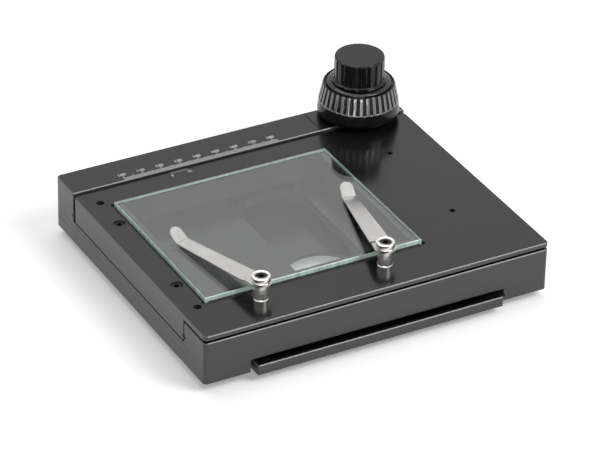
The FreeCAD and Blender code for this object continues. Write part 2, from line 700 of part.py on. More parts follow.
def make_rack(name, length, height, depth, lead, at, turn, screws):
    """Straight rack: a bar along its own X with teeth towards its own Y."""
    body = new_body(name)
    bar = new_sketch(body, "BarOutline")
    rectangle(bar, "0", "-(%s)" % depth, length, "0")
    pad(body, "Bar", bar, height)
    tooth = new_sketch(body, "ToothOutline")
    root = "(tooth_pitch / 4 + 1.25 * gear_module * tan(pressure_angle) - tooth_backlash / 2)"
    tip = "(tooth_pitch / 4 - gear_module * tan(pressure_angle) - tooth_backlash / 2)"
    sink = "-0.1 * gear_module"
    middle = "(%s + tooth_pitch / 2)" % lead
    polygon(tooth, [("%s - %s" % (middle, root), sink), ("%s + %s" % (middle, root), sink),
                    ("%s + %s" % (middle, root), "0"),
                    ("%s + %s" % (middle, tip), "2.25 * gear_module"),
                    ("%s - %s" % (middle, tip), "2.25 * gear_module"),
                    ("%s - %s" % (middle, root), "0")])
    first = pad(body, "Tooth", tooth, height)
    count = "floor((%s - %s) / tooth_pitch)" % (length, lead)
    linear(body, "Teeth", first, "X_Axis", "(%s - 1) * tooth_pitch" % count, count)
    if screws:
        holes = new_sketch(body, "ScrewOutline")
        for x in screws:
            circle(holes, x, "rack_screw_setback - (%s)" % depth, "rack_screw_radius")
        pocket(body, "ScrewHoles", holes, "(%s) * 0.8" % height, reverse=True)
    body.Placement = FreeCAD.Placement(FreeCAD.Vector(), FreeCAD.Rotation(turn, 0, 0))
    for axis, formula in zip("xyz", at):
        bind(body, "Placement.Base." + axis, formula)
    return body


def make_y_stop():
    """Pin of the base plate that ends the rearward and forward travel."""
    item = primitive("Cylinder", "y_stop_pin", ("y_stop_x", "y_stop_y", "base_bottom + part_gap"),
                     Radius="stop_pin_radius",
                     Height="floor_bottom - base_bottom - part_gap * 3")
    NODES.append(item)


# Middle slide


def make_y_frame():
    """Channel-shaped frame: floor, front block with apron, and rear bar."""
    body = new_body("y_frame")
    profile = new_sketch(body, "ChannelProfile", "YZ_Plane")
    polygon(profile, [
        ("front", "rail_top"), ("apron_rear", "rail_top"), ("apron_rear", "floor_bottom"),
        ("rear", "floor_bottom"), ("rear", "bar_top"), ("bar_front", "bar_top"),
        ("bar_front", "x_race_level + x_groove"), ("bar_front + x_groove", "x_race_level"),
        ("bar_front", "x_race_level - x_groove"), ("bar_front", "floor_top"),
        ("block_rear", "floor_top"), ("block_rear", "x_race_level - x_groove"),
        ("block_rear - x_groove", "x_race_level"), ("block_rear", "x_race_level + x_groove"),
        ("block_rear", "block_top"), ("front", "block_top")])
    pad(body, "Channel", profile, "stage_width", symmetric=True)
    foot = new_sketch(body, "FootOutline", height="rail_top")
    rectangle(foot, "-half_width", "front", "slot_left", "apron_rear")
    pad(body, "ApronFoot", foot, "rail_height", reverse=True)
    corner = new_sketch(body, "GearSpaceOutline", height="bar_top")
    rectangle(corner, "gear_block_left", "bar_front - x_groove", "half_width + x_groove",
              "rear + x_groove")
    pocket(body, "GearSpace", corner, "bar_top - floor_top")
    slot = new_sketch(body, "LipSlotOutline", "XZ_Plane", "-apron_rear")
    rectangle(slot, "slot_left", "rail_top", "slot_right", "slot_top")
    pocket(body, "LipSlot", slot, "apron_thickness", reverse=True)
    light = new_sketch(body, "LightSlotOutline", height="floor_top")
    obround(light, "0", "-light_slot_front", "0", "light_slot_rear", "light_slot_radius")
    pocket(body, "LightSlot", light, "floor_thickness")
    channel = new_sketch(body, "RackChannelOutline", height="x_rack_top + pocket_gap")
    rectangle(channel, "x_channel_left", "bar_front - slide_gap / 2",
              "gear_block_left + slide_gap", "x_rack_tip + pocket_gap")
    pocket(body, "RackChannel", channel, "x_rack_height + pocket_gap * 2")
    stop = new_sketch(body, "StopSlotOutline", height="floor_top")
    obround(stop, "x_stop_x - x_travel_left", "x_stop_y", "x_stop_x + x_travel_right",
            "x_stop_y", "stop_pin_radius + part_gap")
    pocket(body, "StopSlot", stop, "floor_thickness")
    holes = new_sketch(body, "HoleOutline", height="floor_top")
    circle(holes, "knob_x", "knob_y", "bush_radius")
    for x, y in frame_screw_places():
        circle(holes, x, y, "frame_screw_radius + fastener_gap")
    for x, y in block_screw_places():
        circle(holes, x, y, "frame_screw_radius + fastener_gap")
    pocket(body, "Holes", holes, "floor_thickness")
    round_corners(body, ("front", "rear"))
    slot_edges = slot_corner_edges(body.Shape)
    fillet(body, "SlotCorner", slot_edges, "slot_round")
    tops = rim_edges(body.Shape, "bar_top") + rim_edges(
        body.Shape, "block_top", lambda box: box.YMax < number("block_rear - x_groove"))
    chamfer(body, "TopBevels", tops, "edge_chamfer")
    bevel_seams(body, [("floor_bottom", "+")])


def bevel_seams(body, levels, sides=("", "-")):
    """Bevel the long edges at the housing's sides, above or below the given levels."""
    outline = new_sketch(body, "SeamProfile", "XZ_Plane", "-apron_rear")
    for side in sides:
        for level, step in levels:
            polygon(outline, [(side + "half_width", level),
                              ("%s(half_width - seam_chamfer)" % side, level),
                              (side + "half_width", "%s %s seam_chamfer" % (level, step))])
    pocket(body, "SeamBevels", outline, "stage_depth")


def slot_corner_edges(shape):
    """Name the edge at the lip slot's rounded upper corner."""
    def stands(point):
        return near(point.x, "slot_left") and near(point.z, "slot_top")
    return edges_where(shape, stands)


def round_corners(body, sides):
    """Round the upright outer corners at the given Y values."""
    for side in sides:
        places = [("-half_width", side), ("half_width", side)]
        edges = upright_edges(body.Shape, places)
        fillet(body, "Corners" + side.title().replace("_", ""), edges, "corner_round")


def frame_screw_places():
    """Give the places of the screws that join the frame and the slide plate."""
    return (("-frame_screw_side", "frame_screw_rear"), ("frame_screw_side", "frame_screw_rear"),
            ("-frame_screw_side * 2.5", "block_rear + frame_screw_head + slide_gap"),
            ("frame_screw_side * 2.5", "block_rear + frame_screw_head + slide_gap"))


def block_screw_places():
    """Give the places of the screws that hold the gear block."""
    inset = "frame_screw_head + edge_chamfer"
    return (("gear_block_left + %s" % inset, "rear - (%s)" % inset),
            ("half_width - corner_round - (%s)" % inset, "rear - (%s)" % inset))


def make_slide_plate():
    """Plate between the frame's floor and the bottom rails."""
    body = new_body("slide_plate")
    outline = new_sketch(body, "PlateOutline", height="rail_top")
    rectangle(outline, "-half_width", "apron_rear", "half_width", "rear")
    pad(body, "Plate", outline, "slide_plate_thickness")
    light = new_sketch(body, "LightSlotOutline", height="floor_bottom")
    obround(light, "0", "-light_slot_front", "0", "light_slot_rear", "light_slot_radius")
    pocket(body, "LightSlot", light, "slide_plate_thickness")
    channel = new_sketch(body, "RackChannelOutline", height="floor_bottom")
    rectangle(channel, "y_rack_back - pocket_gap", "y_channel_front",
              "y_rack_tip + pocket_gap", "rear + pocket_gap")
    pocket(body, "RackChannel", channel, "slide_plate_thickness")
    pinion = new_sketch(body, "PinionPocketOutline", height="floor_bottom")
    circle(pinion, "knob_x", "knob_y", "pinion_pocket")
    pocket(body, "PinionPocket", pinion, "slide_plate_thickness")
    stop = new_sketch(body, "StopSlotOutline", height="floor_bottom")
    obround(stop, "y_stop_x", "y_stop_y - y_travel_rear", "y_stop_x", "y_stop_y + y_travel_front",
            "stop_pin_radius + part_gap")
    pocket(body, "StopSlot", stop, "slide_plate_thickness")
    holes = new_sketch(body, "ScrewOutline", height="floor_bottom")
    for x, y in frame_screw_places():
        circle(holes, x, y, "frame_screw_radius")
    for x, y in block_screw_places():
        circle(holes, x, y, "frame_screw_radius + fastener_gap")
    pocket(body, "ScrewHoles", holes, "slide_plate_thickness")
    heads = new_sketch(body, "HeadOutline", height="rail_top + frame_screw_head_height")
    for x, y in block_screw_places():
        circle(heads, x, y, "frame_screw_head + fastener_gap")
    pocket(body, "HeadHoles", heads, "frame_screw_head_height")
    taps = new_sketch(body, "RailTapOutline", height="rail_top + slide_plate_thickness * 0.8")
    for side in ("-", ""):
        for x, y in rail_screw_places(side):
            circle(taps, x, y, "frame_screw_radius")
    pocket(body, "RailTaps", taps, "slide_plate_thickness * 0.8")
    round_corners(body, ("rear",))
    bevel_seams(body, [("rail_top", "+"), ("floor_bottom", "-")])


def rail_screw_places(side):
    """Give the places of the screws in one bottom rail."""
    count = int(number("rail_screw_count"))
    span = "(rear - apron_rear - rail_screw_inset * 2)"
    for i in range(count):
        yield ("%s(rail_face + half_width) / 2" % side,
               "apron_rear + rail_screw_inset + %s * %d / (rail_screw_count - 1)" % (span, i))


def make_rail(name, side, front):
    """Bottom rail with the outer ball race of the Y slide."""
    body = new_body(name)
    profile = new_sketch(body, "RailProfile", "XZ_Plane", "-(%s)" % front)
    face = side + "rail_face"
    apex = "%s(rail_face + y_groove)" % side
    outer = side + "half_width"
    polygon(profile, [(face, "rail_bottom"), (outer, "rail_bottom"), (outer, "rail_top"),
                      (face, "rail_top"), (face, "y_race_level + y_groove"),
                      (apex, "y_race_level"), (face, "y_race_level - y_groove")])
    pad(body, "Rail", profile, "rear - (%s)" % front, reverse=True)
    holes = new_sketch(body, "ScrewOutline", height="rail_top")
    for x, y in rail_screw_places(side):
        circle(holes, x, y, "frame_screw_radius + fastener_gap")
    pocket(body, "ScrewHoles", holes, "rail_height")
    heads = new_sketch(body, "HeadOutline", height="rail_bottom + frame_screw_head_height * 1.2")
    for x, y in rail_screw_places(side):
        circle(heads, x, y, "frame_screw_head + fastener_gap")
    pocket(body, "HeadHoles", heads, "frame_screw_head_height * 1.2")
    corners = [(side + "half_width", "rear")]
    if front == "front":
        corners.append((side + "half_width", "front"))
    fillet(body, "Corners", upright_edges(body.Shape, corners), "corner_round")
    bevel_seams(body, [("rail_top", "-")], (side,))


def make_gear_block():
    """Block at the rear right that carries the coaxial drive."""
    body = new_body("gear_block")
    outline = new_sketch(body, "BlockOutline", height="floor_top")
    rectangle(outline, "gear_block_left", "bar_front", "half_width", "rear")
    pad(body, "Block", outline, "bar_top - floor_top")
    race = new_sketch(body, "RaceProfile", "YZ_Plane", "gear_block_left")
    polygon(race, [("bar_front", "x_race_level + x_groove"),
                   ("bar_front", "x_race_level - x_groove"),
                   ("bar_front + x_groove", "x_race_level")])
    pocket(body, "Race", race, "half_width - gear_block_left", reverse=True)
    channel = new_sketch(body, "RackChannelOutline", height="x_rack_top + pocket_gap")
    rectangle(channel, "gear_block_left", "bar_front", "half_width",
              "x_rack_tip + pocket_gap")
    pocket(body, "RackChannel", channel, "x_rack_height + pocket_gap * 2")
    cavity = new_sketch(body, "PinionPocketOutline", height="pocket_top")
    circle(cavity, "knob_x", "knob_y", "pinion_pocket")
    pocket(body, "PinionPocket", cavity, "pocket_top - floor_top")
    bore = new_sketch(body, "BushBoreOutline", height="bar_top")
    circle(bore, "knob_x", "knob_y", "bush_radius")
    pocket(body, "BushBore", bore, "gear_block_roof")
    taps = new_sketch(body, "TapOutline", height="floor_top + rail_height")
    for x, y in block_screw_places():
        circle(taps, x, y, "frame_screw_radius")
    pocket(body, "Taps", taps, "rail_height")
    fillet(body, "Corner", upright_edges(body.Shape, [("half_width", "rear")]),
           "corner_round")
    chamfer(body, "TopBevels", rim_edges(
        body.Shape, "bar_top", lambda box: box.XLength + box.YLength > 20
        or box.XMax > number("half_width - corner_round") - 1e-3), "edge_chamfer")


def make_frame_fasteners():
    """Screws of the middle slide."""
    members = []
    for i, (x, y) in enumerate(frame_screw_places()):
        members.append(cap_screw("FrameScrew%d" % i, x, y, "floor_top", "frame_screw_head",
                                 "frame_screw_head_height * 0.25", "frame_screw_radius",
                                 "floor_thickness + slide_plate_thickness"))
    group("frame_screws", members)
    members = []
    for i, (x, y) in enumerate(block_screw_places()):
        members.append(cap_screw("BlockScrew%d" % i, x, y, "rail_top + frame_screw_head_height",
                                 "frame_screw_head", "frame_screw_head_height",
                                 "frame_screw_radius",
                                 "floor_top + rail_height - rail_top - frame_screw_head_height",
                                 upwards=True))
    group("gear_block_screws", members)
    members = []
    for side in ("-", ""):
        for i, (x, y) in enumerate(rail_screw_places(side)):
            name = "RailScrew%s%d" % ("Left" if side else "Right", i)
            members.append(cap_screw(
                name, x, y, "rail_bottom + frame_screw_head_height * 1.2",
                "frame_screw_head", "frame_screw_head_height", "frame_screw_radius",
                "rail_height - frame_screw_head_height * 1.2 + slide_plate_thickness * 0.8",
                upwards=True))
    group("rail_screws", members)


# Top slide


def make_x_plate():
    """Top slide: slab with front flange, races, glass seat and opening."""
    body = new_body("x_plate")
    profile = new_sketch(body, "SlabProfile", "YZ_Plane")
    polygon(profile, [
        ("front", "flange_bottom"), ("plate_front", "flange_bottom"),
        ("plate_front", "plate_bottom"), ("plate_rear", "plate_bottom"),
        ("plate_rear", "plate_top"), ("front", "plate_top")])
    pad(body, "Slab", profile, "stage_width", symmetric=True)
    round_corners(body, ("front", "plate_rear"))
    races = new_sketch(body, "RaceProfile", "YZ_Plane")
    for face, sign in (("plate_front", "+"), ("plate_rear", "-")):
        polygon(races, [(face, "x_race_level + x_groove"),
                        ("%s %s x_groove" % (face, sign), "x_race_level"),
                        (face, "x_race_level - x_groove")])
    pocket(body, "Races", races, "stage_width * 1.1", symmetric=True)
    opening = new_sketch(body, "OpeningOutline", height="plate_top")
    rectangle(opening, "glass_left + seat_width", "glass_front + seat_width",
              "glass_right - seat_width", "glass_rear - seat_width_rear")
    pocket(body, "Opening", opening, "plate_height")
    seat = new_sketch(body, "GlassSeatOutline", height="plate_top")
    rectangle(seat, "glass_left - glass_play", "glass_front - glass_play",
              "glass_right + glass_play", "glass_rear + glass_play")
    pocket(body, "GlassSeat", seat, "glass_recess")
    relief = new_sketch(body, "ReliefOutline", height="plate_top")
    for x in ("glass_left", "glass_right"):
        for y in ("glass_front", "glass_rear"):
            circle(relief, x, y, "relief_radius")
    pocket(body, "CornerReliefs", relief, "glass_recess")
    rebate = new_sketch(body, "RackRebateOutline", height="x_rack_top")
    rectangle(rebate, "x_rack_left", "x_rack_back", "half_width + slide_gap",
              "plate_rear + slide_gap")
    pocket(body, "RackRebate", rebate, "x_rack_height")
    vernier = new_sketch(body, "VernierOutline", height="plate_top")
    rectangle(vernier, "vernier_x - vernier_width / 2", "plate_rear - vernier_depth",
              "vernier_x + vernier_width / 2", "plate_rear + slide_gap")
    pocket(body, "VernierSeat", vernier, "vernier_thickness")
    bores = new_sketch(body, "ScrewBoreOutline", height="plate_top")
    for x, y in plate_screw_places():
        circle(bores, x, y, "frame_screw_radius")
    pocket(body, "ScrewBores", bores, "plate_screw_depth + plate_screw_sink")
    counter = new_sketch(body, "CounterboreOutline", height="plate_top")
    for x, y in plate_screw_places()[:2]:
        circle(counter, x, y, "plate_screw_counterbore")
    pocket(body, "Counterbores", counter, "plate_screw_sink + frame_screw_head_height")
    pilots = new_sketch(body, "PilotOutline", height="plate_top")
    for sign in ("-", "+"):
        circle(pilots, "-plate_screw_x", "plate_screw_middle_y %s pilot_half_pitch" % sign,
               "pilot_hole_radius")
    pocket(body, "PilotHoles", pilots, "pilot_hole_depth")
    posts = new_sketch(body, "PostScrewOutline", height="plate_top")
    for x in ("clip_left_x", "clip_right_x"):
        circle(posts, x, "clip_y", "post_screw_radius")
    pocket(body, "PostScrewHoles", posts, "flange_thickness")
    under = new_sketch(body, "UndersideOutline", height="x_rack_bottom")
    for x in x_rack_screws():
        circle(under, x, "x_rack_back + rack_screw_setback", "rack_screw_radius + fastener_gap")
    pocket(body, "RackScrewHoles", under, "x_rack_bottom - plate_bottom")
    heads = new_sketch(body, "RackHeadOutline", height="plate_bottom + rack_screw_head_height")
    for x in x_rack_screws():
        circle(heads, x, "x_rack_back + rack_screw_setback", "rack_screw_head + fastener_gap")
    pocket(body, "RackHeadHoles", heads, "rack_screw_head_height")
    stop = new_sketch(body, "StopPinOutline", height="plate_bottom + pilot_hole_depth / 2")
    circle(stop, "x_stop_x", "x_stop_y", "stop_pin_radius")
    pocket(body, "StopPinHole", stop, "pilot_hole_depth / 2")
    chamfer(body, "TopBevels", rim_edges(body.Shape, "plate_top", outer_rim), "edge_chamfer")


def outer_rim(box):
    """Tell whether an edge lies on the top plate's left, right or front border."""
    limit = number("half_width - corner_round") - 1e-3
    front = number("front + corner_round") + 1e-3
    at_side = box.XMin >= limit or box.XMax <= -limit
    return at_side or box.YMax <= front


def plate_screw_places():
    """Give the places of the left and right screws of the top plate."""
    rows = ("plate_screw_middle_y - plate_screw_half_pitch",
            "plate_screw_middle_y + plate_screw_half_pitch")
    left = [("-plate_screw_x", y) for y in rows]
    return left + [("plate_screw_right_x", y) for y in rows]


def x_rack_screws():
    """Give the places of the top rack's screws along X."""
    return ("x_rack_left + x_rack_length * 0.1", "x_rack_left + x_rack_length * 0.9")


def make_glass():
    """Clear glass insert with ground edges."""
    body = new_body("glass_insert")
    outline = new_sketch(body, "GlassOutline", height="glass_bottom")
    rectangle(outline, "glass_left", "glass_front", "glass_right", "glass_rear")
    pad(body, "Glass", outline, "glass_thickness")
    rims = rim_edges(body.Shape, "glass_top") + rim_edges(body.Shape, "glass_bottom")
    chamfer(body, "GroundEdges", rims, "glass_chamfer")


def make_vernier():
    """Small plate that carries the vernier graduation."""
    item = primitive("Box", "vernier_plate",
                     ("vernier_x - vernier_width / 2", "plate_rear - vernier_depth",
                      "plate_top - vernier_thickness"),
                     Length="vernier_width", Width="vernier_depth",
                     Height="vernier_thickness")
    NODES.append(item)


def make_x_stop():
    """Pin under the top slide that ends its travel."""
    item = primitive("Cylinder", "x_stop_pin", ("x_stop_x", "x_stop_y",
                                                "floor_bottom + part_gap"),
                     Radius="stop_pin_radius",
                     Height="plate_bottom + pilot_hole_depth / 2 - floor_bottom - part_gap")
    NODES.append(item)


def make_plate_fasteners():
    """Screws of the top slide."""
    members = []
    for i, (x, y) in enumerate(plate_screw_places()[:2]):
        members.append(cap_screw("PlateScrew%d" % i, x, y,
                                 "plate_top - plate_screw_sink - frame_screw_head_height",
                                 "frame_screw_head", "frame_screw_head_height",
                                 "frame_screw_radius",
                                 "plate_screw_depth - frame_screw_head_height"))
    for i, (x, y) in enumerate(plate_screw_places()[2:]):
        members.append(grub_screw("PlateGrub%d" % i, x, y, "plate_top - plate_screw_sink",
                                  "frame_screw_radius", "plate_screw_depth"))
    group("plate_screws", members)
    members = []
    for i, x in enumerate(x_rack_screws()):
        members.append(cap_screw("XRackScrew%d" % i, x, "x_rack_back + rack_screw_setback",
                                 "plate_bottom + rack_screw_head_height", "rack_screw_head",
                                 "rack_screw_head_height", "rack_screw_radius",
                                 "x_rack_bottom - plate_bottom - rack_screw_head_height"
                                 " + x_rack_height * 0.7", upwards=True))
    group("x_rack_screws", members)
    members = []
    for i, y in enumerate(y_rack_screws()):
        members.append(cap_screw("YRackScrew%d" % i, "y_rack_back + rack_screw_setback", y,
                                 "base_bottom + rack_screw_head_height", "rack_screw_head",
                                 "rack_screw_head_height", "rack_screw_radius",
                                 "base_edge_height - rack_screw_head_height"
                                 " + y_rack_height * 0.7", upwards=True))
    group("y_rack_screws", members)


# Ball strips


def make_balls(label, races, radius, length, middle, along, level, thickness, height):
    """Two pierced strips with their balls, one strip on each side."""
    count = int(number("balls_per_strip"))
    strips = []
    balls = []
    pitch = "((%s) - cage_inset * 2) / (balls_per_strip - 1)" % length
    for side, race in enumerate(races):
        spots = []
        for i in range(count):
            offset = "(%s) - (%s) / 2 + cage_inset + %s * %d" % (middle, length, pitch, i)
            spots.append((offset, race) if along == "x" else (race, offset))
        for i, (x, y) in enumerate(spots):
            ball = primitive("Sphere", "%sBall%d%d" % (label, side, i), (x, y, level),
                             Radius=radius)
            balls.append(ball)
        start = "(%s) - (%s) / 2" % (middle, length)
        back = "(%s) - (%s) / 2" % (race, thickness)
        low = "(%s) - (%s) / 2" % (level, height)
        at = (start, back, low) if along == "x" else (back, start, low)
        spans = (length, thickness) if along == "x" else (thickness, length)
        bar = primitive("Box", "%sStripBlank%d" % (label, side), at,
                        Length=spans[0], Width=spans[1], Height=height)
        holes = []
        for i, (x, y) in enumerate(spots):
            half = "(%s) * 2" % thickness
            if along == "x":
                place, axis = (x, "(%s) - (%s)" % (y, half), level), (1, 0, 0)
            else:
                place, axis = ("(%s) - (%s)" % (x, half), y, level), (0, 1, 0)
            hole = primitive("Cylinder", "%sHole%d%d" % (label, side, i), place,
                             Radius="(%s) + part_gap" % radius,
                             Height="(%s) * 4" % thickness)
            turn = -90 if along == "x" else 90
            hole.Placement.Rotation = FreeCAD.Rotation(FreeCAD.Vector(*axis), turn)
            holes.append(hole)
        cutter = doc.addObject("Part::MultiFuse", "%sHoles%d" % (label, side))
        cutter.Shapes = holes
        strip = doc.addObject("Part::Cut", "%sStrip%d" % (label, side))
        strip.Base = bar
        strip.Tool = cutter
        strips.append(strip)
    group(label + "_ball_strips", strips)
    group(label + "_balls", balls)


# Coaxial drive


def gear_outline(first_angle):
    """Closed involute outline of a pinion with one tooth at the given angle."""
    teeth = int(number("pinion_teeth"))
    pressure = math.radians(number("pressure_angle"))
    pitch_radius = number("pitch_radius")
    base_radius = pitch_radius * math.cos(pressure)
    root = number("root_radius")
    tip = number("tip_radius")
    thinning = number("tooth_backlash") / 2 / pitch_radius

    def half_angle(radius):
        slope = math.acos(min(1, base_radius / radius))
        spread = math.tan(pressure) - pressure - math.tan(slope) + slope
        return math.pi / (2 * teeth) + spread - thinning
    start = max(base_radius, root)
    radii = [root, start, start + (tip - start) * 0.4, tip]
    points = []
    for i in range(teeth):
        middle = first_angle + 2 * math.pi * i / teeth
        for radius in radii:
            points.append((radius, middle - half_angle(max(radius, start))))
        for radius in reversed(radii):
            points.append((radius, middle + half_angle(max(radius, start))))
    corners = [FreeCAD.Vector(r * math.cos(a), r * math.sin(a), 0) for r, a in points]
    return Part.Face(Part.makePolygon(corners + corners[:1]))


def make_pinion(name, low, height, bore, first_angle, hub_height="0"):
    """Involute pinion on the knob axis, with an optional hub below its teeth."""
    up = FreeCAD.Vector(0, 0, 1)
    teeth = gear_outline(first_angle).extrude(up.multiply(number(height)))
    solid = teeth
    drop = number(hub_height)
    if drop > 0:
        hub = Part.makeCylinder(number("pinion_hub_radius"), drop + number(height) / 2,
                                FreeCAD.Vector(0, 0, -drop))
        solid = teeth.fuse(hub)
    hole = Part.makeCylinder(number(bore), drop + number(height) * 2,
                             FreeCAD.Vector(0, 0, -drop - number(height) / 2))
    item = doc.addObject("Part::Feature", name)
    item.Shape = solid.cut(hole).removeSplitter()
    for axis, formula in zip("xyz", ("knob_x", "knob_y", low)):
        bind(item, "Placement.Base." + axis, formula)
    NODES.append(item)


def place_on_knob_axis(body):
    """Stand a turned body on the knob axis."""
    bind(body, "Placement.Base.x", "knob_x")
    bind(body, "Placement.Base.y", "knob_y")


def make_shafts_and_bushes():
    """Solid and hollow shaft with the bronze bushes that carry them."""
    bush_bore = "hollow_shaft_radius + running_gap"
    body = new_body("upper_bush")
    revolve(body, "Bush", [
        (bush_bore, "pocket_top"), ("bush_radius", "pocket_top"), ("bush_radius", "bar_top"),
        ("upper_bush_flange_radius", "bar_top"), ("upper_bush_flange_radius", "bush_top"),
        (bush_bore, "bush_top")])
    place_on_knob_axis(body)
    body = new_body("lower_bush")
    flange = "bush_radius + lower_bush_flange_width"
    revolve(body, "Bush", [
        (bush_bore, "floor_bottom"), ("bush_radius", "floor_bottom"),
        ("bush_radius", "floor_top"), (flange, "floor_top"),
        (flange, "floor_top + lower_bush_flange"), (bush_bore, "floor_top + lower_bush_flange")])
    place_on_knob_axis(body)
    body = new_body("hollow_shaft")
    inner = "inner_shaft_radius + running_gap"
    revolve(body, "Shaft", [
        (inner, "floor_bottom"), ("hollow_shaft_radius", "floor_bottom"),
        ("hollow_shaft_radius", "collar_top"), (inner, "collar_top")])
    place_on_knob_axis(body)
    body = new_body("inner_shaft")
    top = "small_knob_top - small_knob_height * 0.25"
    revolve(body, "Shaft", [("0", "rail_top + pocket_gap"),
                            ("inner_shaft_radius", "rail_top + pocket_gap"),
                            ("inner_shaft_radius", top), ("0", top)])
    place_on_knob_axis(body)


def make_large_knob():
    """Large knob: smooth bowl under a ribbed band, bored for the hollow shaft."""
    body = new_body("large_knob")
    bore = "hollow_shaft_radius"
    revolve(body, "Knob", [
        (bore, "bowl_bottom"), ("bowl_radius", "bowl_bottom"),
        ("bowl_radius", "bowl_bottom + bowl_round * 1.25"), ("band_radius", "band_bottom"),
        ("band_top_radius", "band_top - edge_chamfer"),
        ("band_top_radius - edge_chamfer", "band_top"), ("knob_recess_radius", "band_top"),
        ("knob_recess_radius", "recess_floor"), (bore, "recess_floor")])
    foot = rim_edges(body.Shape, "bowl_bottom", lambda box: box.XLength > number("bowl_radius"))
    fillet(body, "BowlFoot", foot, "bowl_round")
    low = new_sketch(body, "FluteLow", height="band_bottom + edge_chamfer")
    circle(low, "band_radius + band_flute_radius - band_flute_depth", "0", "band_flute_radius")
    high = new_sketch(body, "FluteHigh", height="band_top + edge_chamfer")
    circle(high, "band_top_radius + band_flute_radius - band_flute_depth * 0.8", "0",
           "band_flute_radius")
    flute = body.newObject("PartDesign::SubtractiveLoft", "Flute")
    flute.Profile = low
    flute.Sections = [high]
    doc.recompute()
    polar(body, "Flutes", flute, "band_rib_count")
    place_on_knob_axis(body)


def make_collar():
    """Polished collar that closes the large knob's recess."""
    body = new_body("knob_collar")
    revolve(body, "Collar", [
        ("hollow_shaft_radius", "recess_floor"), ("collar_radius", "recess_floor"),
        ("collar_radius", "recess_floor + collar_rim"),
        ("collar_radius - edge_chamfer", "recess_floor + collar_rim + edge_chamfer"),
        ("small_knob_skirt + edge_chamfer", "collar_top"),
        ("hollow_shaft_radius", "collar_top")])
    place_on_knob_axis(body)


def make_small_knob():
    """Small fluted knob with a skirt, on the inner shaft."""
    body = new_body("small_knob")
    shaft_end = "small_knob_top - small_knob_height * 0.25"
    neck = "small_knob_bottom + small_knob_skirt_height"
    rounding = "small_knob_round"
    revolve(body, "Knob", [
        ("inner_shaft_radius", "small_knob_bottom"), ("small_knob_skirt", "small_knob_bottom"),
        ("small_knob_skirt", "small_knob_bottom + small_knob_skirt_height * 0.5"),
        ("small_knob_radius", neck), ("small_knob_radius", "small_knob_top - %s" % rounding),
        ("small_knob_radius - %s * 0.3" % rounding, "small_knob_top - %s * 0.3" % rounding),
        ("small_knob_radius - %s" % rounding, "small_knob_top"), ("0", "small_knob_top"),
        ("0", shaft_end), ("inner_shaft_radius", shaft_end)])
    flute = new_sketch(body, "FluteOutline", height="small_knob_top - small_knob_round")
    circle(flute, "small_knob_radius + small_flute_radius - small_flute_depth", "0",
           "small_flute_radius")
    first = pocket(body, "Flute", flute,
                   "small_knob_height - small_knob_skirt_height - small_knob_round")
    polar(body, "Flutes", first, "small_knob_flutes")
    screw = new_sketch(body, "ScrewHoleOutline", "YZ_Plane", "inner_shaft_radius")
    circle(screw, "0", "small_knob_bottom + small_knob_height * 0.45", "knob_screw_radius")
    pocket(body, "ScrewHole", screw, "small_knob_radius", reverse=True)
    place_on_knob_axis(body)


def make_knob_screw():
    """Grub screw that fixes the small knob on its shaft."""
    level = "small_knob_bottom + small_knob_height * 0.45"
    stem = primitive("Cylinder", "KnobScrewStem", ("knob_x + inner_shaft_radius", "knob_y", level),
                     Radius="knob_screw_radius", Height="knob_screw_length")
    socket = primitive("Prism", "KnobScrewSocket",
                       ("knob_x + inner_shaft_radius + knob_screw_length * 0.6", "knob_y", level),
                       Circumradius="knob_screw_radius * 0.6", Height="knob_screw_length * 0.4")
    socket.Polygon = 6
    for item in (stem, socket):
        item.Placement.Rotation = FreeCAD.Rotation(FreeCAD.Vector(0, 1, 0), 90)
    screw = doc.addObject("Part::Cut", "small_knob_screw")
    screw.Base = stem
    screw.Tool = socket
    NODES.append(screw)


# Specimen clips


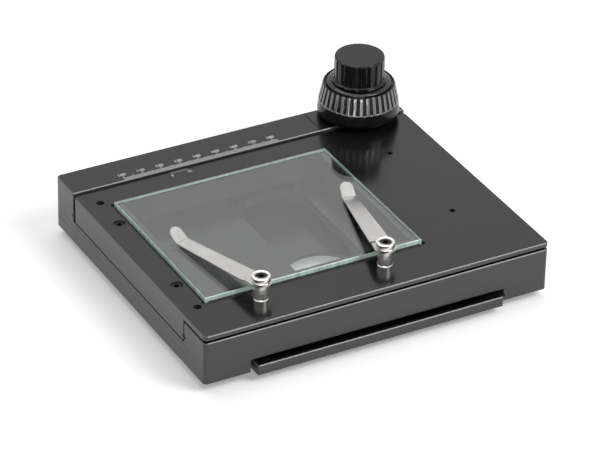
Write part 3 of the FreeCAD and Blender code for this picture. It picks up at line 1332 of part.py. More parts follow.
def make_clip_posts():
    """Sleeves, caps and screws of the two clip posts."""
    sleeves = []
    caps = []
    screws = []
    for side in ("left", "right"):
        x = "clip_%s_x" % side
        foot = primitive("Cone", "SleeveFoot" + side, (x, "clip_y", "plate_top"),
                         Radius1="post_radius + post_foot", Radius2="post_radius",
                         Height="post_foot * 2")
        stem = primitive("Cylinder", "SleeveStem" + side, (x, "clip_y", "plate_top"),
                         Radius="post_radius", Height="post_height")
        neck = primitive("Cylinder", "SleeveNeck" + side, (x, "clip_y", "plate_top"),
                         Radius="post_neck_radius", Height="neck_top - plate_top")
        bore = primitive("Cylinder", "SleeveBore" + side, (x, "clip_y", "plate_top - post_foot"),
                         Radius="post_screw_radius + fastener_gap",
                         Height="neck_top - plate_top + post_foot * 2")
        blank = doc.addObject("Part::MultiFuse", "SleeveBlank" + side)
        blank.Shapes = [foot, stem, neck]
        sleeve = doc.addObject("Part::Cut", "Sleeve" + side)
        sleeve.Base = blank
        sleeve.Tool = bore
        sleeves.append(sleeve)
        shell = primitive("Cylinder", "CapBody" + side, (x, "clip_y", "neck_top"),
                          Radius="cap_radius", Height="cap_height")
        head_room = primitive("Cylinder", "CapBore" + side,
                              (x, "clip_y", "cap_top - socket_head_height - edge_chamfer"),
                              Radius="socket_head_radius + fastener_gap / 2",
                              Height="socket_head_height + edge_chamfer * 2")
        shank_room = primitive("Cylinder", "CapHole" + side, (x, "clip_y", "neck_top - post_foot"),
                               Radius="post_screw_radius + fastener_gap",
                               Height="cap_height")
        rooms = doc.addObject("Part::MultiFuse", "CapRooms" + side)
        rooms.Shapes = [head_room, shank_room]
        ring = doc.addObject("Part::Cut", "CapRing" + side)
        ring.Base = shell
        ring.Tool = rooms
        doc.recompute()
        cap = doc.addObject("Part::Chamfer", "Cap" + side)
        cap.Base = ring
        bevel = number("cap_chamfer")
        cap.Edges = [(index, bevel, bevel) for index in outer_circles(ring.Shape)]
        caps.append(cap)
        screws.append(cap_screw("PostScrew" + side, x, "clip_y",
                                "cap_top - socket_head_height - edge_chamfer",
                                "socket_head_radius", "socket_head_height",
                                "post_screw_radius",
                                "cap_height - socket_head_height - edge_chamfer"
                                " + neck_top - flange_bottom"))
    group("clip_sleeves", sleeves)
    group("clip_caps", caps)
    group("clip_screws", screws)


def outer_circles(shape):
    """Number the edges that run round a cap's outside."""
    numbers = []
    for index, edge in enumerate(shape.Edges, start=1):
        if edge.Curve.TypeId == "Part::GeomCircle" and near(edge.Curve.Radius, "cap_radius"):
            numbers.append(index)
    return numbers


def make_clip(name, x, inward):
    """Spring clip: round eye, crank, tapered sloping arm and an upturned round end."""
    body = new_body(name)
    high = "eye_top + clip_thickness"
    depth = "eye_top + clip_thickness - glass_top"
    eye = new_sketch(body, "EyeOutline", height="glass_top")
    circle(eye, "0", "0", "clip_eye_radius")
    pad(body, "Eye", eye, depth)
    arm = new_sketch(body, "ArmOutline", height="glass_top")
    polygon(arm, [("-clip_eye_radius", "0"), ("clip_eye_radius", "0"),
                  ("clip_bend_width / 2", "clip_arm_length"),
                  ("-clip_bend_width / 2", "clip_arm_length")])
    pad(body, "Arm", arm, depth)
    back = "-clip_eye_radius * 2"
    step_start = "clip_eye_radius"
    step_end = "clip_eye_radius + clip_step_length"
    far = "clip_arm_length + clip_eye_radius"
    slope = "(eye_bottom - clip_step - tip_bottom) / (clip_arm_length - clip_eye_radius - clip_step_length)"
    beyond = "tip_bottom - clip_eye_radius * %s" % slope
    over = new_sketch(body, "AboveStrip", "YZ_Plane")
    polygon(over, [(back, "eye_top"), (step_start, "eye_top"), (step_end, "eye_top - clip_step"),
                   (far, "%s + clip_thickness" % beyond), (far, high + " + clip_eye_radius"),
                   (back, high + " + clip_eye_radius")])
    pocket(body, "TrimAbove", over, "clip_eye_radius * 4", symmetric=True)
    below = new_sketch(body, "BelowStrip", "YZ_Plane")
    polygon(below, [(back, "eye_bottom"), (step_start, "eye_bottom"),
                    (step_end, "eye_bottom - clip_step"), (far, beyond),
                    (far, "glass_top - clip_eye_radius"), (back, "glass_top - clip_eye_radius")])
    pocket(body, "TrimBelow", below, "clip_eye_radius * 4", symmetric=True)
    tab = new_sketch(body, "TabOutline")
    polygon(tab, [("-clip_bend_width / 2", "0"), ("clip_bend_width / 2", "0"),
                  ("clip_tab_radius", "clip_tab_length"), ("-clip_tab_radius", "clip_tab_length")])
    end = new_sketch(body, "EndOutline")
    circle(end, "0", "clip_tab_length", "clip_tab_radius")
    tilt = FreeCAD.Rotation(FreeCAD.Vector(1, 0, 0), number("clip_tab_rise"))
    for sketch, label in ((tab, "Tab"), (end, "RoundEnd")):
        sketch.AttachmentOffset = FreeCAD.Placement(FreeCAD.Vector(), tilt)
        bind(sketch, "AttachmentOffset.Base.y", "clip_arm_length")
        bind(sketch, "AttachmentOffset.Base.z", "tip_bottom")
        pad(body, label, sketch, "clip_thickness")
    hole = new_sketch(body, "EyeHoleOutline", height=high)
    circle(hole, "0", "0", "post_neck_radius + running_gap * 2")
    pocket(body, "EyeHole", hole, "clip_thickness * 3")
    lean = number("clip_rest_angle") * inward
    body.Placement = FreeCAD.Placement(FreeCAD.Vector(), FreeCAD.Rotation(lean, 0, 0))
    bind(body, "Placement.Base.x", x)
    bind(body, "Placement.Base.y", "clip_y")


def check_objects():
    """Stop if an object failed or a sub-part is empty or broken."""
    faults = []
    for item in doc.Objects:
        if "Invalid" in item.State or "Error" in item.State:
            faults.append(item.Name)
    for node in NODES:
        shape = node.Shape
        if shape.isNull() or not shape.isValid() or shape.Volume <= 0:
            faults.append(node.Label)
    if faults:
        raise RuntimeError("failed: " + ", ".join(faults))


def write_parts():
    """Write one STEP file for each sub-part."""
    os.makedirs("parts", exist_ok=True)
    for node in NODES:
        node.Shape.exportStep("parts/" + node.Label + ".step")
        print(node.Label, len(node.Shape.Solids), round(node.Shape.Volume, 2))


def main():
    """Build the stage and write its sub-parts."""
    fill_sheets()
    make_mounting_ring()
    make_base_plate()
    make_ring_screws()
    make_rack("y_rack", "y_rack_length", "y_rack_height", "y_rack_depth", "y_rack_lead",
              ("y_rack_root", "base_rear", "base_edge_top"), -90,
              ["base_rear - (%s)" % y for y in y_rack_screws()])
    make_y_stop()
    make_y_frame()
    make_slide_plate()
    make_rail("left_rail", "-", "apron_rear")
    make_rail("right_rail", "", "front")
    make_gear_block()
    make_frame_fasteners()
    make_x_plate()
    make_glass()
    make_rack("x_rack", "x_rack_length", "x_rack_height", "x_rack_depth", "x_rack_lead",
              ("x_rack_left", "x_rack_root", "x_rack_bottom"), 0,
              ["(%s) - x_rack_left" % x for x in x_rack_screws()])
    make_vernier()
    make_x_stop()
    make_plate_fasteners()
    make_balls("x", ("block_rear + slide_gap / 2", "bar_front - slide_gap / 2"),
               "x_ball_radius", "x_cage_length", "0", "x", "x_race_level",
               "x_cage_thickness", "x_cage_height")
    make_balls("y", ("-base_half - rail_gap / 2", "base_half + rail_gap / 2"),
               "y_ball_radius", "y_cage_length", "y_cage_rear", "y", "y_race_level",
               "y_cage_thickness", "y_cage_height")
    make_shafts_and_bushes()
    make_pinion("x_pinion", "x_rack_bottom", "x_pinion_height", "hollow_shaft_radius",
                -math.pi / 2, "x_rack_level - lower_bush_flange - part_gap")
    make_pinion("y_pinion", "rail_top + pocket_gap", "y_pinion_height",
                "inner_shaft_radius", math.pi)
    make_large_knob()
    make_collar()
    make_small_knob()
    make_knob_screw()
    make_clip_posts()
    make_clip("clip_left", "clip_left_x", 1)
    make_clip("clip_right", "clip_right_x", -1)
    doc.recompute()
    check_objects()
    write_parts()


main()
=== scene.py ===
import math

import bpy
from bpy.props import FloatProperty, FloatVectorProperty, IntProperty, PointerProperty
from mathutils import Matrix, Vector


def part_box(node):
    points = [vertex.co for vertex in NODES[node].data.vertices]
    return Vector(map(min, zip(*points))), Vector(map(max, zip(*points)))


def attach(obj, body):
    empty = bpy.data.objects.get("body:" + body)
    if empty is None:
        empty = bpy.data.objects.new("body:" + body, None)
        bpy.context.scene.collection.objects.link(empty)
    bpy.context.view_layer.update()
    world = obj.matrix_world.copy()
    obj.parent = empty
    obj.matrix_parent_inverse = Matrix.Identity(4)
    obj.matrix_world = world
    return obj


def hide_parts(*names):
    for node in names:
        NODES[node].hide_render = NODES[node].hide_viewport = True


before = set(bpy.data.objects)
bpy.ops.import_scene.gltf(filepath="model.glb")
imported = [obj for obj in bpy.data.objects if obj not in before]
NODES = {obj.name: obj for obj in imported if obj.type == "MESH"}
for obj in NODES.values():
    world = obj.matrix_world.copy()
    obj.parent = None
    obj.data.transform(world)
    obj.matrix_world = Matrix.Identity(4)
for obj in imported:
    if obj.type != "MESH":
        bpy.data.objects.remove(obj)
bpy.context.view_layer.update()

bl_info = {
    "name": "Microscope Stage Dressing",
    "version": (1, 0, 0),
    "blender": (4, 5, 0),
    "location": "View3D > Sidebar > Stage",
    "description": "Gives the xy stage its finishes, engraved scales, studio and camera",
    "category": "Object",
}

MM = 0.001

# The photograph's camera in the part's own axes: its place, in millimetres, its three
# directions, its lens and sensor, in millimetres, and the range that it sees, in metres
CAMERA_PLACE = (-705.64, -1242.74, 914.61)
CAMERA_RIGHT = (0.87934070, -0.47577313, 0.01999663)
CAMERA_DOWN = (-0.23487184, -0.46986239, -0.85091983)
CAMERA_FORWARD = (0.41424046, 0.74355179, -0.52491483)
CAMERA_LENS = 216.64
SENSOR_WIDTH = 36
CAMERA_CLIP = (0.1, 20)

# Lamps, in metres: the place of each, the point that it faces and its size
LAMPS = {
    "overhead": ((0.0, 0.36, 1.0), (0, 0.03, 0), (0.9, 0.9)),
    "key": ((0.45, -0.57, 0.81), (0, 0, 0.02), (0.5, 0.5)),
    "side": ((-0.6, 0.85, 0.49), (0, 0, 0.02), (0.5, 0.5)),
    "low": ((-0.54, -1.0, 0.12), (0.06, 0.07, 0.05), (0.9, 0.2)),
}

# Width of the floor, in metres, which stays inside the lit area
FLOOR_SIZE = 1.1

# The large knob's ribbed band, in metres: its height, its radii and the depth of a crest
BAND_HEIGHT = 0.0092
BAND_RADIUS = 0.0197
BAND_TOP_RADIUS = 0.0177
CREST_DEPTH = 0.0002

# Paint of the engraved marks, in millimetres: how thick it is, and how far its middle lies
# above the surface. A line's upright corners are cut by a share of its width, and the font
# has to be larger than the numerals by FONT_SIZE.
MARK_THICKNESS = 0.04
MARK_LIFT = 0.01
CORNER_CUT = 0.3
FONT_SIZE = 1.38

# Scale, in millimetres: from the top plate's rear edge to the lines, the lines' lengths,
# from their near ends to the numerals' middles, and the lines past the last number
BAR_EDGE = 1.25
SCALE_TEN = 3.4
SCALE_FIVE = 2.7
SCALE_ONE = 2.0
SCALE_NUMERALS = 4.7
SPARE_LINES = 2

# Vernier, in millimetres: from its plate's edge to the lines, the lines' lengths and step,
# how many there are, from the plate's edge to the numerals' middles, and the lines' width,
# the numerals' height and the paint's tone as shares of the scale's
VERNIER_EDGE = 0.15
VERNIER_FIVE = 1.9
VERNIER_ONE = 1.4
VERNIER_STEP = 0.9
VERNIER_LINES = 11
VERNIER_NUMERALS = 3.2
VERNIER_WIDTH = 0.5
VERNIER_HEIGHT = 0.9
VERNIER_TONE = 0.75

# Air between the glass and its ledge, in metres, so that the two faces don't coincide
LEDGE_GAP = 0.00004

# Corners of a CAD mesh that are nearer than this, in metres, are one
MERGE_DISTANCE = 0.000002

# The part of a noise's range that patterns use
NOISE_LOW = 0.3
NOISE_HIGH = 0.7

# Upright part of a face's normal: a wall's lies below the first and a bevelled edge's
# between the first and the second, and a polished face of the glass lies above the third
WALL_SLOPE = 0.25
EDGE_SLOPE = 0.96
GLASS_SLOPE = 0.9

# Numbers of the Mix node's sockets when it mixes colours
MIX_FACTOR, MIX_UNDER, MIX_OVER, MIX_RESULT = 0, 6, 7, 2


# Sizes and colours that a user would change


class StageFinish(bpy.types.PropertyGroup):
    """Colours and gloss of the stage's surfaces"""
    anodised: FloatVectorProperty(
        name="Anodised", description="Colour of the black anodised aluminium",
        subtype="COLOR", size=3, min=0, max=1, default=(0.006, 0.006, 0.0062))
    anodised_roughness: FloatProperty(
        name="Anodised roughness", description="Roughness of the anodised surface",
        subtype="FACTOR", min=0, max=1, default=0.17)
    # Painted light: the walls get this colour, lighter than the anodised tops, in place of the
    # light that their faces catch
    side: FloatVectorProperty(
        name="Sides", description="Colour of the milled side walls",
        subtype="COLOR", size=3, min=0, max=1, default=(0.042, 0.042, 0.0424))
    # Painted highlight: bevelled edges get this lighter colour in place of the bright lines
    # that light draws along them
    edge: FloatVectorProperty(
        name="Edges", description="Worn colour of the bevelled edges",
        subtype="COLOR", size=3, min=0, max=1, default=(0.1, 0.1, 0.101))
    engraving: FloatVectorProperty(
        name="Engraving", description="Paint in the engraved marks",
        subtype="COLOR", size=3, min=0, max=1, default=(0.82, 0.82, 0.81))
    steel: FloatVectorProperty(
        name="Clip steel", description="Colour of the spring strip",
        subtype="COLOR", size=3, min=0, max=1, default=(0.56, 0.55, 0.535))
    knob: FloatVectorProperty(
        name="Knobs", description="Colour of the knobs' black plastic",
        subtype="COLOR", size=3, min=0, max=1, default=(0.003, 0.003, 0.003))
    # Painted highlight: this bright colour is laid on the large knob's rib crests in place of
    # the light that they catch
    crest: FloatVectorProperty(
        name="Rib crests", description="Bright colour of the large knob's rubbed ribs",
        subtype="COLOR", size=3, min=0, max=1, default=(0.17, 0.17, 0.17))
    glass_edge: FloatVectorProperty(
        name="Glass edge", description="Ground edge of the glass insert",
        subtype="COLOR", size=3, min=0, max=1, default=(0.6, 0.76, 0.69))


class StageMarks(bpy.types.PropertyGroup):
    """Sizes of the engraved scale and vernier"""
    scale_zero: FloatProperty(
        name="Scale zero", description="X of the scale's zero mark, in millimetres",
        default=-62.0)
    scale_length: IntProperty(
        name="Scale length", description="Millimetres that the scale counts",
        min=10, max=120, default=80)
    vernier_zero: FloatProperty(
        name="Vernier zero", description="X of the vernier's zero mark, in millimetres",
        default=-39.4)
    line_width: FloatProperty(
        name="Line width", description="Width of an engraved line, in millimetres",
        min=0.05, max=0.5, default=0.3)
    digit_height: FloatProperty(
        name="Digit height", description="Height of the numerals, in millimetres",
        min=1, max=6, default=2.1)
    first_number: IntProperty(
        name="First number", description="Number at the scale's zero mark",
        min=0, max=500, default=100)


class StageStudio(bpy.types.PropertyGroup):
    """Strength of the studio's lights"""
    key_power: FloatProperty(
        name="Key", description="Power of the front light", subtype="POWER",
        default=6.0)
    overhead_power: FloatProperty(
        name="Overhead", description="Power of the large light above the stage",
        subtype="POWER", default=4.2)
    side_power: FloatProperty(
        name="Side", description="Power of the light at the left and behind",
        subtype="POWER", default=0.2)
    low_power: FloatProperty(
        name="Low", description="Power of the low light that the knobs' ribs mirror",
        subtype="POWER", default=3.5)
    sky: FloatProperty(
        name="Sky", description="Grey of the surroundings that light the stage",
        subtype="FACTOR", min=0, max=1, default=0.34)
    floor_glow: FloatProperty(
        name="Floor glow", description="White that the floor shows besides its own shade",
        min=0, max=1, default=0.26)


# Helpers


def deselect():
    """Leave nothing selected and no object active"""
    bpy.ops.object.select_all(action="DESELECT")
    bpy.context.view_layer.objects.active = None


def pick(obj):
    """Select one object only"""
    deselect()
    obj.select_set(True)
    bpy.context.view_layer.objects.active = obj


def settle(obj, name):
    """Bake an object's place into its mesh and name it"""
    pick(obj)
    bpy.ops.object.transform_apply(location=True, rotation=True, scale=True)
    obj.name = name
    obj.data.name = name
    return obj


def join(objects, name):
    """Join objects into one piece"""
    deselect()
    for obj in objects:
        obj.select_set(True)
    bpy.context.view_layer.objects.active = objects[0]
    bpy.ops.object.join()
    return settle(bpy.context.view_layer.objects.active, name)


def wear(obj, material):
    """Give an object one material on every face"""
    obj.data.materials.clear()
    obj.data.materials.append(material)


def smooth_copy(node, name, angle=32):
    """Copy a CAD node with its corners merged and its curved faces shaded smoothly"""
    mesh = NODES[node].data.copy()
    obj = bpy.data.objects.new(name, mesh)
    bpy.context.scene.collection.objects.link(obj)
    mesh.name = name
    pick(obj)
    bpy.ops.object.mode_set(mode="EDIT")
    bpy.ops.mesh.select_all(action="SELECT")
    bpy.ops.mesh.remove_doubles(threshold=MERGE_DISTANCE)
    bpy.ops.mesh.normals_make_consistent(inside=False)
    bpy.ops.object.mode_set(mode="OBJECT")
    bpy.ops.object.shade_smooth_by_angle(angle=math.radians(angle))
    bpy.ops.object.modifier_add(type="WEIGHTED_NORMAL")
    obj.modifiers[-1].keep_sharp = True
    bpy.ops.object.modifier_apply(modifier=obj.modifiers[-1].name)
    return obj


# Materials


def new_material(name):
    """Start a material and return it with its tree and shader"""
    material = bpy.data.materials.new(name)
    material.use_nodes = True
    tree = material.node_tree
    return material, tree, tree.nodes["Principled BSDF"]


def compute(tree, operation, *terms):
    """Math node on numbers and sockets"""
    node = tree.nodes.new("ShaderNodeMath")
    node.operation = operation
    for socket, term in zip(node.inputs, terms):
        if isinstance(term, (int, float)):
            socket.default_value = term
        else:
            tree.links.new(term, socket)
    return node.outputs["Value"]


def noise(tree, scale, detail=3.0, stretch=(1, 1, 1)):
    """Noise on object coordinates that are scaled along each axis"""
    coords = tree.nodes.new("ShaderNodeTexCoord")
    mapping = tree.nodes.new("ShaderNodeMapping")
    mapping.inputs["Scale"].default_value = stretch
    tree.links.new(coords.outputs["Object"], mapping.inputs["Vector"])
    texture = tree.nodes.new("ShaderNodeTexNoise")
    texture.inputs["Scale"].default_value = scale
    texture.inputs["Detail"].default_value = detail
    tree.links.new(mapping.outputs["Vector"], texture.inputs["Vector"])
    return texture.outputs["Fac"]


def spread(tree, source, low, high):
    """Map a noise to a range"""
    node = tree.nodes.new("ShaderNodeMapRange")
    node.inputs["From Min"].default_value = NOISE_LOW
    node.inputs["From Max"].default_value = NOISE_HIGH
    node.inputs["To Min"].default_value = low
    node.inputs["To Max"].default_value = high
    tree.links.new(source, node.inputs["Value"])
    return node.outputs["Result"]


def tint(tree, source, dark, light):
    """Mix two colours by a noise"""
    node = tree.nodes.new("ShaderNodeValToRGB")
    node.color_ramp.elements[0].position = NOISE_LOW
    node.color_ramp.elements[1].position = NOISE_HIGH
    node.color_ramp.elements[0].color = (*dark, 1)
    node.color_ramp.elements[1].color = (*light, 1)
    tree.links.new(source, node.inputs["Fac"])
    return node.outputs["Color"]


def grain(tree, shader, source, strength, distance):
    """Drive a shader's bump from a noise"""
    node = tree.nodes.new("ShaderNodeBump")
    node.inputs["Strength"].default_value = strength
    node.inputs["Distance"].default_value = distance
    tree.links.new(source, node.inputs["Height"])
    tree.links.new(node.outputs["Normal"], shader.inputs["Normal"])


def slope_mask(tree, low, high):
    """One where the upright part of a face's normal, up or down, lies in a range"""
    geometry = tree.nodes.new("ShaderNodeNewGeometry")
    split = tree.nodes.new("ShaderNodeSeparateXYZ")
    tree.links.new(geometry.outputs["True Normal"], split.inputs["Vector"])
    upright = compute(tree, "ABSOLUTE", split.outputs["Z"])
    return compute(tree, "COMPARE", upright, (low + high) / 2, (high - low) / 2)


def cover(tree, under, colour, mask):
    """Lay a colour over another where a mask is one"""
    node = tree.nodes.new("ShaderNodeMix")
    node.data_type = "RGBA"
    tree.links.new(mask, node.inputs[MIX_FACTOR])
    tree.links.new(under, node.inputs[MIX_UNDER])
    node.inputs[MIX_OVER].default_value = (*colour, 1)
    return node.outputs[MIX_RESULT]


def shade(base, factor):
    """Scale a colour"""
    return tuple(min(1.0, channel * factor) for channel in base)


def anodised(name, tone):
    """Black anodised aluminium, with painted light on its milled walls and a painted highlight
    on its bevelled edges
    """
    finish = bpy.context.scene.stage_finish
    rough = finish.anodised_roughness
    material, tree, shader = new_material(name)
    patches = noise(tree, scale=34, detail=2)
    speckle = noise(tree, scale=5200, detail=2)
    flats = tint(tree, patches, shade(finish.anodised, 0.88 * tone),
                 shade(finish.anodised, 1.12 * tone))
    # Painted light: walls get the lighter side colour
    walls = cover(tree, flats, finish.side, slope_mask(tree, -WALL_SLOPE, WALL_SLOPE))
    # Painted highlight: bevelled faces get the lighter edge colour
    edges = cover(tree, walls, finish.edge, slope_mask(tree, WALL_SLOPE, EDGE_SLOPE))
    tree.links.new(edges, shader.inputs["Base Color"])
    tree.links.new(spread(tree, patches, rough - 0.02, rough + 0.03),
                   shader.inputs["Roughness"])
    shader.inputs["Specular IOR Level"].default_value = 0.4
    grain(tree, shader, speckle, strength=0.04, distance=0.00001)
    return material


def metal(name, colour, roughness, stretch=(1, 1, 1), scale=900, bump=0.06):
    """Bare or plated metal with fine grinding marks"""
    material, tree, shader = new_material(name)
    marks = noise(tree, scale, detail=3, stretch=stretch)
    tree.links.new(tint(tree, marks, shade(colour, 0.93), shade(colour, 1.04)),
                   shader.inputs["Base Color"])
    tree.links.new(spread(tree, marks, roughness * 0.85, roughness * 1.2),
                   shader.inputs["Roughness"])
    shader.inputs["Metallic"].default_value = 1.0
    grain(tree, shader, marks, strength=bump, distance=0.00003)
    return material


def gloss(name, colour, roughness, level=0.5):
    """Glossy black plastic with a faint moulded texture"""
    material, tree, shader = new_material(name)
    cloud = noise(tree, scale=120, detail=3)
    fine = noise(tree, scale=2600, detail=2)
    tree.links.new(tint(tree, cloud, shade(colour, 0.85), shade(colour, 1.2)),
                   shader.inputs["Base Color"])
    tree.links.new(spread(tree, cloud, roughness * 0.8, roughness * 1.25),
                   shader.inputs["Roughness"])
    shader.inputs["Specular IOR Level"].default_value = level
    grain(tree, shader, fine, strength=0.02, distance=0.00001)
    return material


def ribbed_band(name, colour, crest):
    """Glossy black plastic with a painted highlight, bright and metallic, on its upper cone's
    rib crests
    """
    material = gloss(name, colour, roughness=0.12, level=0.25)
    tree = material.node_tree
    shader = tree.nodes["Principled BSDF"]
    low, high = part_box("large_knob")
    coords = tree.nodes.new("ShaderNodeTexCoord")
    centre = tree.nodes.new("ShaderNodeMapping")
    centre.inputs["Location"].default_value = (
        -(low.x + high.x) / 2, -(low.y + high.y) / 2, BAND_HEIGHT - high.z)
    tree.links.new(coords.outputs["Object"], centre.inputs["Vector"])
    split = tree.nodes.new("ShaderNodeSeparateXYZ")
    tree.links.new(centre.outputs["Vector"], split.inputs["Vector"])
    height = split.outputs["Z"]
    flat = tree.nodes.new("ShaderNodeVectorMath")
    flat.operation = "MULTIPLY"
    flat.inputs[1].default_value = (1, 1, 0)
    tree.links.new(centre.outputs["Vector"], flat.inputs[0])
    reach = tree.nodes.new("ShaderNodeVectorMath")
    reach.operation = "LENGTH"
    tree.links.new(flat.outputs["Vector"], reach.inputs[0])
    slant = (BAND_RADIUS - BAND_TOP_RADIUS) / BAND_HEIGHT
    foot_radius = compute(tree, "MULTIPLY_ADD", height, slant, reach.outputs["Value"])
    # Painted highlight: the rib crests of the upper cone are made bright and metallic
    highlit = compute(tree, "MULTIPLY",
                     compute(tree, "GREATER_THAN", foot_radius, BAND_RADIUS - CREST_DEPTH),
                     compute(tree, "GREATER_THAN", height, 0))
    plain = shader.inputs["Base Color"].links[0].from_socket
    tree.links.new(cover(tree, plain, crest, highlit), shader.inputs["Base Color"])
    tree.links.new(highlit, shader.inputs["Metallic"])
    return material


def paint(name, colour):
    """Matt paint in engraved lines"""
    material, tree, shader = new_material(name)
    tree.links.new(tint(tree, noise(tree, scale=900), shade(colour, 0.8), colour),
                   shader.inputs["Base Color"])
    shader.inputs["Roughness"].default_value = 0.55
    return material


def clear_glass(name):
    """Clear plate glass whose ground edges look pale green"""
    edge = bpy.context.scene.stage_finish.glass_edge
    material, tree, shader = new_material(name)
    shader.inputs["Base Color"].default_value = (0.95, 0.985, 0.965, 1)
    shader.inputs["Transmission Weight"].default_value = 1.0
    shader.inputs["IOR"].default_value = 1.58
    tree.links.new(spread(tree, noise(tree, scale=60), 0.0, 0.002),
                   shader.inputs["Roughness"])
    rim = tree.nodes.new("ShaderNodeBsdfPrincipled")
    streaks = noise(tree, scale=420, stretch=(1, 1, 0.2))
    tree.links.new(tint(tree, streaks, shade(edge, 0.8), shade(edge, 1.25)),
                   rim.inputs["Base Color"])
    rim.inputs["Roughness"].default_value = 0.3
    rim.inputs["Transmission Weight"].default_value = 0.25
    mix = tree.nodes.new("ShaderNodeMixShader")
    tree.links.new(slope_mask(tree, GLASS_SLOPE, 2 - GLASS_SLOPE), mix.inputs["Fac"])
    tree.links.new(rim.outputs["BSDF"], mix.inputs[1])
    tree.links.new(shader.outputs["BSDF"], mix.inputs[2])
    output = tree.nodes["Material Output"]
    tree.links.new(mix.outputs["Shader"], output.inputs["Surface"])
    return material


# Operators: finishes


class STAGE_OT_plates(bpy.types.Operator):
    """Give the plates, rails, blocks and ring their black anodised finish"""
    bl_idname = "stage.plates"
    bl_label = "Anodised plates"

    def execute(self, context):
        tones = {"x_plate": 1.0, "y_frame": 1.0, "gear_block": 1.0, "slide_plate": 0.9,
                 "left_rail": 0.9, "right_rail": 0.9, "base_plate": 0.9,
                 "mounting_ring": 0.9, "vernier_plate": 0.8}
        for node, tone in tones.items():
            wear(NODES[node], anodised("anodised_" + node, tone))
        return {"FINISHED"}


class STAGE_OT_glass(bpy.types.Operator):
    """Give the glass insert its clear faces and ground edges"""
    bl_idname = "stage.glass"
    bl_label = "Glass insert"

    def execute(self, context):
        piece = smooth_copy("glass_insert", "glass_insert_clear", angle=20)
        lowest = min(vertex.co.z for vertex in piece.data.vertices)
        bpy.ops.object.mode_set(mode="EDIT")
        bpy.ops.mesh.select_mode(type="VERT")
        bpy.ops.mesh.select_all(action="DESELECT")
        bpy.ops.object.mode_set(mode="OBJECT")
        for vertex in piece.data.vertices:
            vertex.select = vertex.co.z < lowest + LEDGE_GAP / 2
        bpy.ops.object.mode_set(mode="EDIT")
        bpy.ops.transform.translate(value=(0, 0, LEDGE_GAP))
        bpy.ops.object.mode_set(mode="OBJECT")
        wear(piece, clear_glass("plate_glass"))
        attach(piece, "x_carriage")
        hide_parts("glass_insert")
        return {"FINISHED"}


class STAGE_OT_steel(bpy.types.Operator):
    """Finish the gears, shafts, pins, balls and screws"""
    bl_idname = "stage.steel"
    bl_label = "Steel and bronze parts"

    def execute(self, context):
        ground = metal("ground_steel", (0.56, 0.55, 0.54), roughness=0.28)
        black = metal("blackened_steel", (0.022, 0.022, 0.023), roughness=0.38)
        bronze = metal("bronze", (0.62, 0.42, 0.22), roughness=0.3)
        groups = {
            "y_rack": ground, "x_rack": ground, "x_pinion": ground, "y_pinion": ground,
            "hollow_shaft": ground, "inner_shaft": ground, "x_balls": ground,
            "y_balls": ground, "x_stop_pin": ground, "y_stop_pin": ground,
            "upper_bush": bronze, "lower_bush": bronze, "x_ball_strips": bronze,
            "y_ball_strips": bronze, "ring_screws": black, "frame_screws": black,
            "rail_screws": black, "gear_block_screws": black, "plate_screws": black,
            "x_rack_screws": black, "y_rack_screws": black, "clip_screws": black,
            "small_knob_screw": black}
        for node, material in groups.items():
            wear(NODES[node], material)
        return {"FINISHED"}


class STAGE_OT_clips(bpy.types.Operator):
    """Dress the spring clips and the posts that carry them"""
    bl_idname = "stage.clips"
    bl_label = "Spring clips and posts"

    def execute(self, context):
        strip = metal("spring_strip", context.scene.stage_finish.steel, roughness=0.17,
                      stretch=(1, 0.3, 1), scale=260, bump=0.004)
        plated = metal("bright_nickel", (0.80, 0.78, 0.75), roughness=0.24,
                       stretch=(0.2, 0.2, 1), scale=1200, bump=0.04)
        for node in ("clip_left", "clip_right"):
            wear(NODES[node], strip)
        for node in ("clip_sleeves", "clip_caps"):
            piece = smooth_copy(node, node + "_smooth")
            wear(piece, plated)
            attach(piece, "x_carriage")
            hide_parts(node)
        return {"FINISHED"}


class STAGE_OT_knobs(bpy.types.Operator):
    """Dress the two coaxial knobs and the polished collar between them"""
    bl_idname = "stage.knobs"
    bl_label = "Coaxial knobs"

    def execute(self, context):
        black = context.scene.stage_finish.knob
        crest = context.scene.stage_finish.crest
        plastic = gloss("knob_black", black, roughness=0.1, level=0.3)
        band = ribbed_band("knob_band_black", black, crest)
        collar = gloss("collar_black", black, roughness=0.07)
        dress = (("large_knob", "large_knob_drive", band, "black_knob"),
                 ("knob_collar", "large_knob_drive", collar, "dark_chrome"),
                 ("small_knob", "small_knob_drive", plastic, "black_knob"))
        for node, body, material, slot in dress:
            piece = smooth_copy(node, node + "_smooth", angle=35)
            wear(piece, material)
            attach(piece, body)
            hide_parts(node)
        return {"FINISHED"}


# Operators: engraved marks


def line_mark(width, length):
    """Model one engraved line along Y from the origin, with its upright corners cut"""
    deselect()
    bpy.ops.mesh.primitive_cube_add(size=1, location=(0, length / 2 * MM, 0))
    bar = bpy.context.active_object
    bar.scale = (width * MM, length * MM, MARK_THICKNESS * MM)
    bpy.ops.object.transform_apply(location=True, rotation=True, scale=True)
    bpy.ops.object.mode_set(mode="EDIT")
    bpy.ops.mesh.select_mode(type="EDGE")
    bpy.ops.mesh.select_all(action="DESELECT")
    bpy.ops.object.mode_set(mode="OBJECT")
    for edge in bar.data.edges:
        heights = [bar.data.vertices[corner].co.z for corner in edge.vertices]
        edge.select = max(heights) - min(heights) > MARK_THICKNESS / 2 * MM
    bpy.ops.object.mode_set(mode="EDIT")
    bpy.ops.mesh.bevel(offset=width * CORNER_CUT * MM, segments=1, affect="EDGES")
    bpy.ops.object.mode_set(mode="OBJECT")
    return bar


def repeat_mark(bar, places, z):
    """Copy a modelled line to its places, each copy with its own mesh, and drop the first"""
    copies = []
    for x, y in places:
        mark = bpy.data.objects.new(bar.name, bar.data.copy())
        mark.data.transform(Matrix.Translation((x * MM, y * MM, z * MM)))
        bpy.context.scene.collection.objects.link(mark)
        copies.append(mark)
    bpy.data.objects.remove(bar)
    return copies


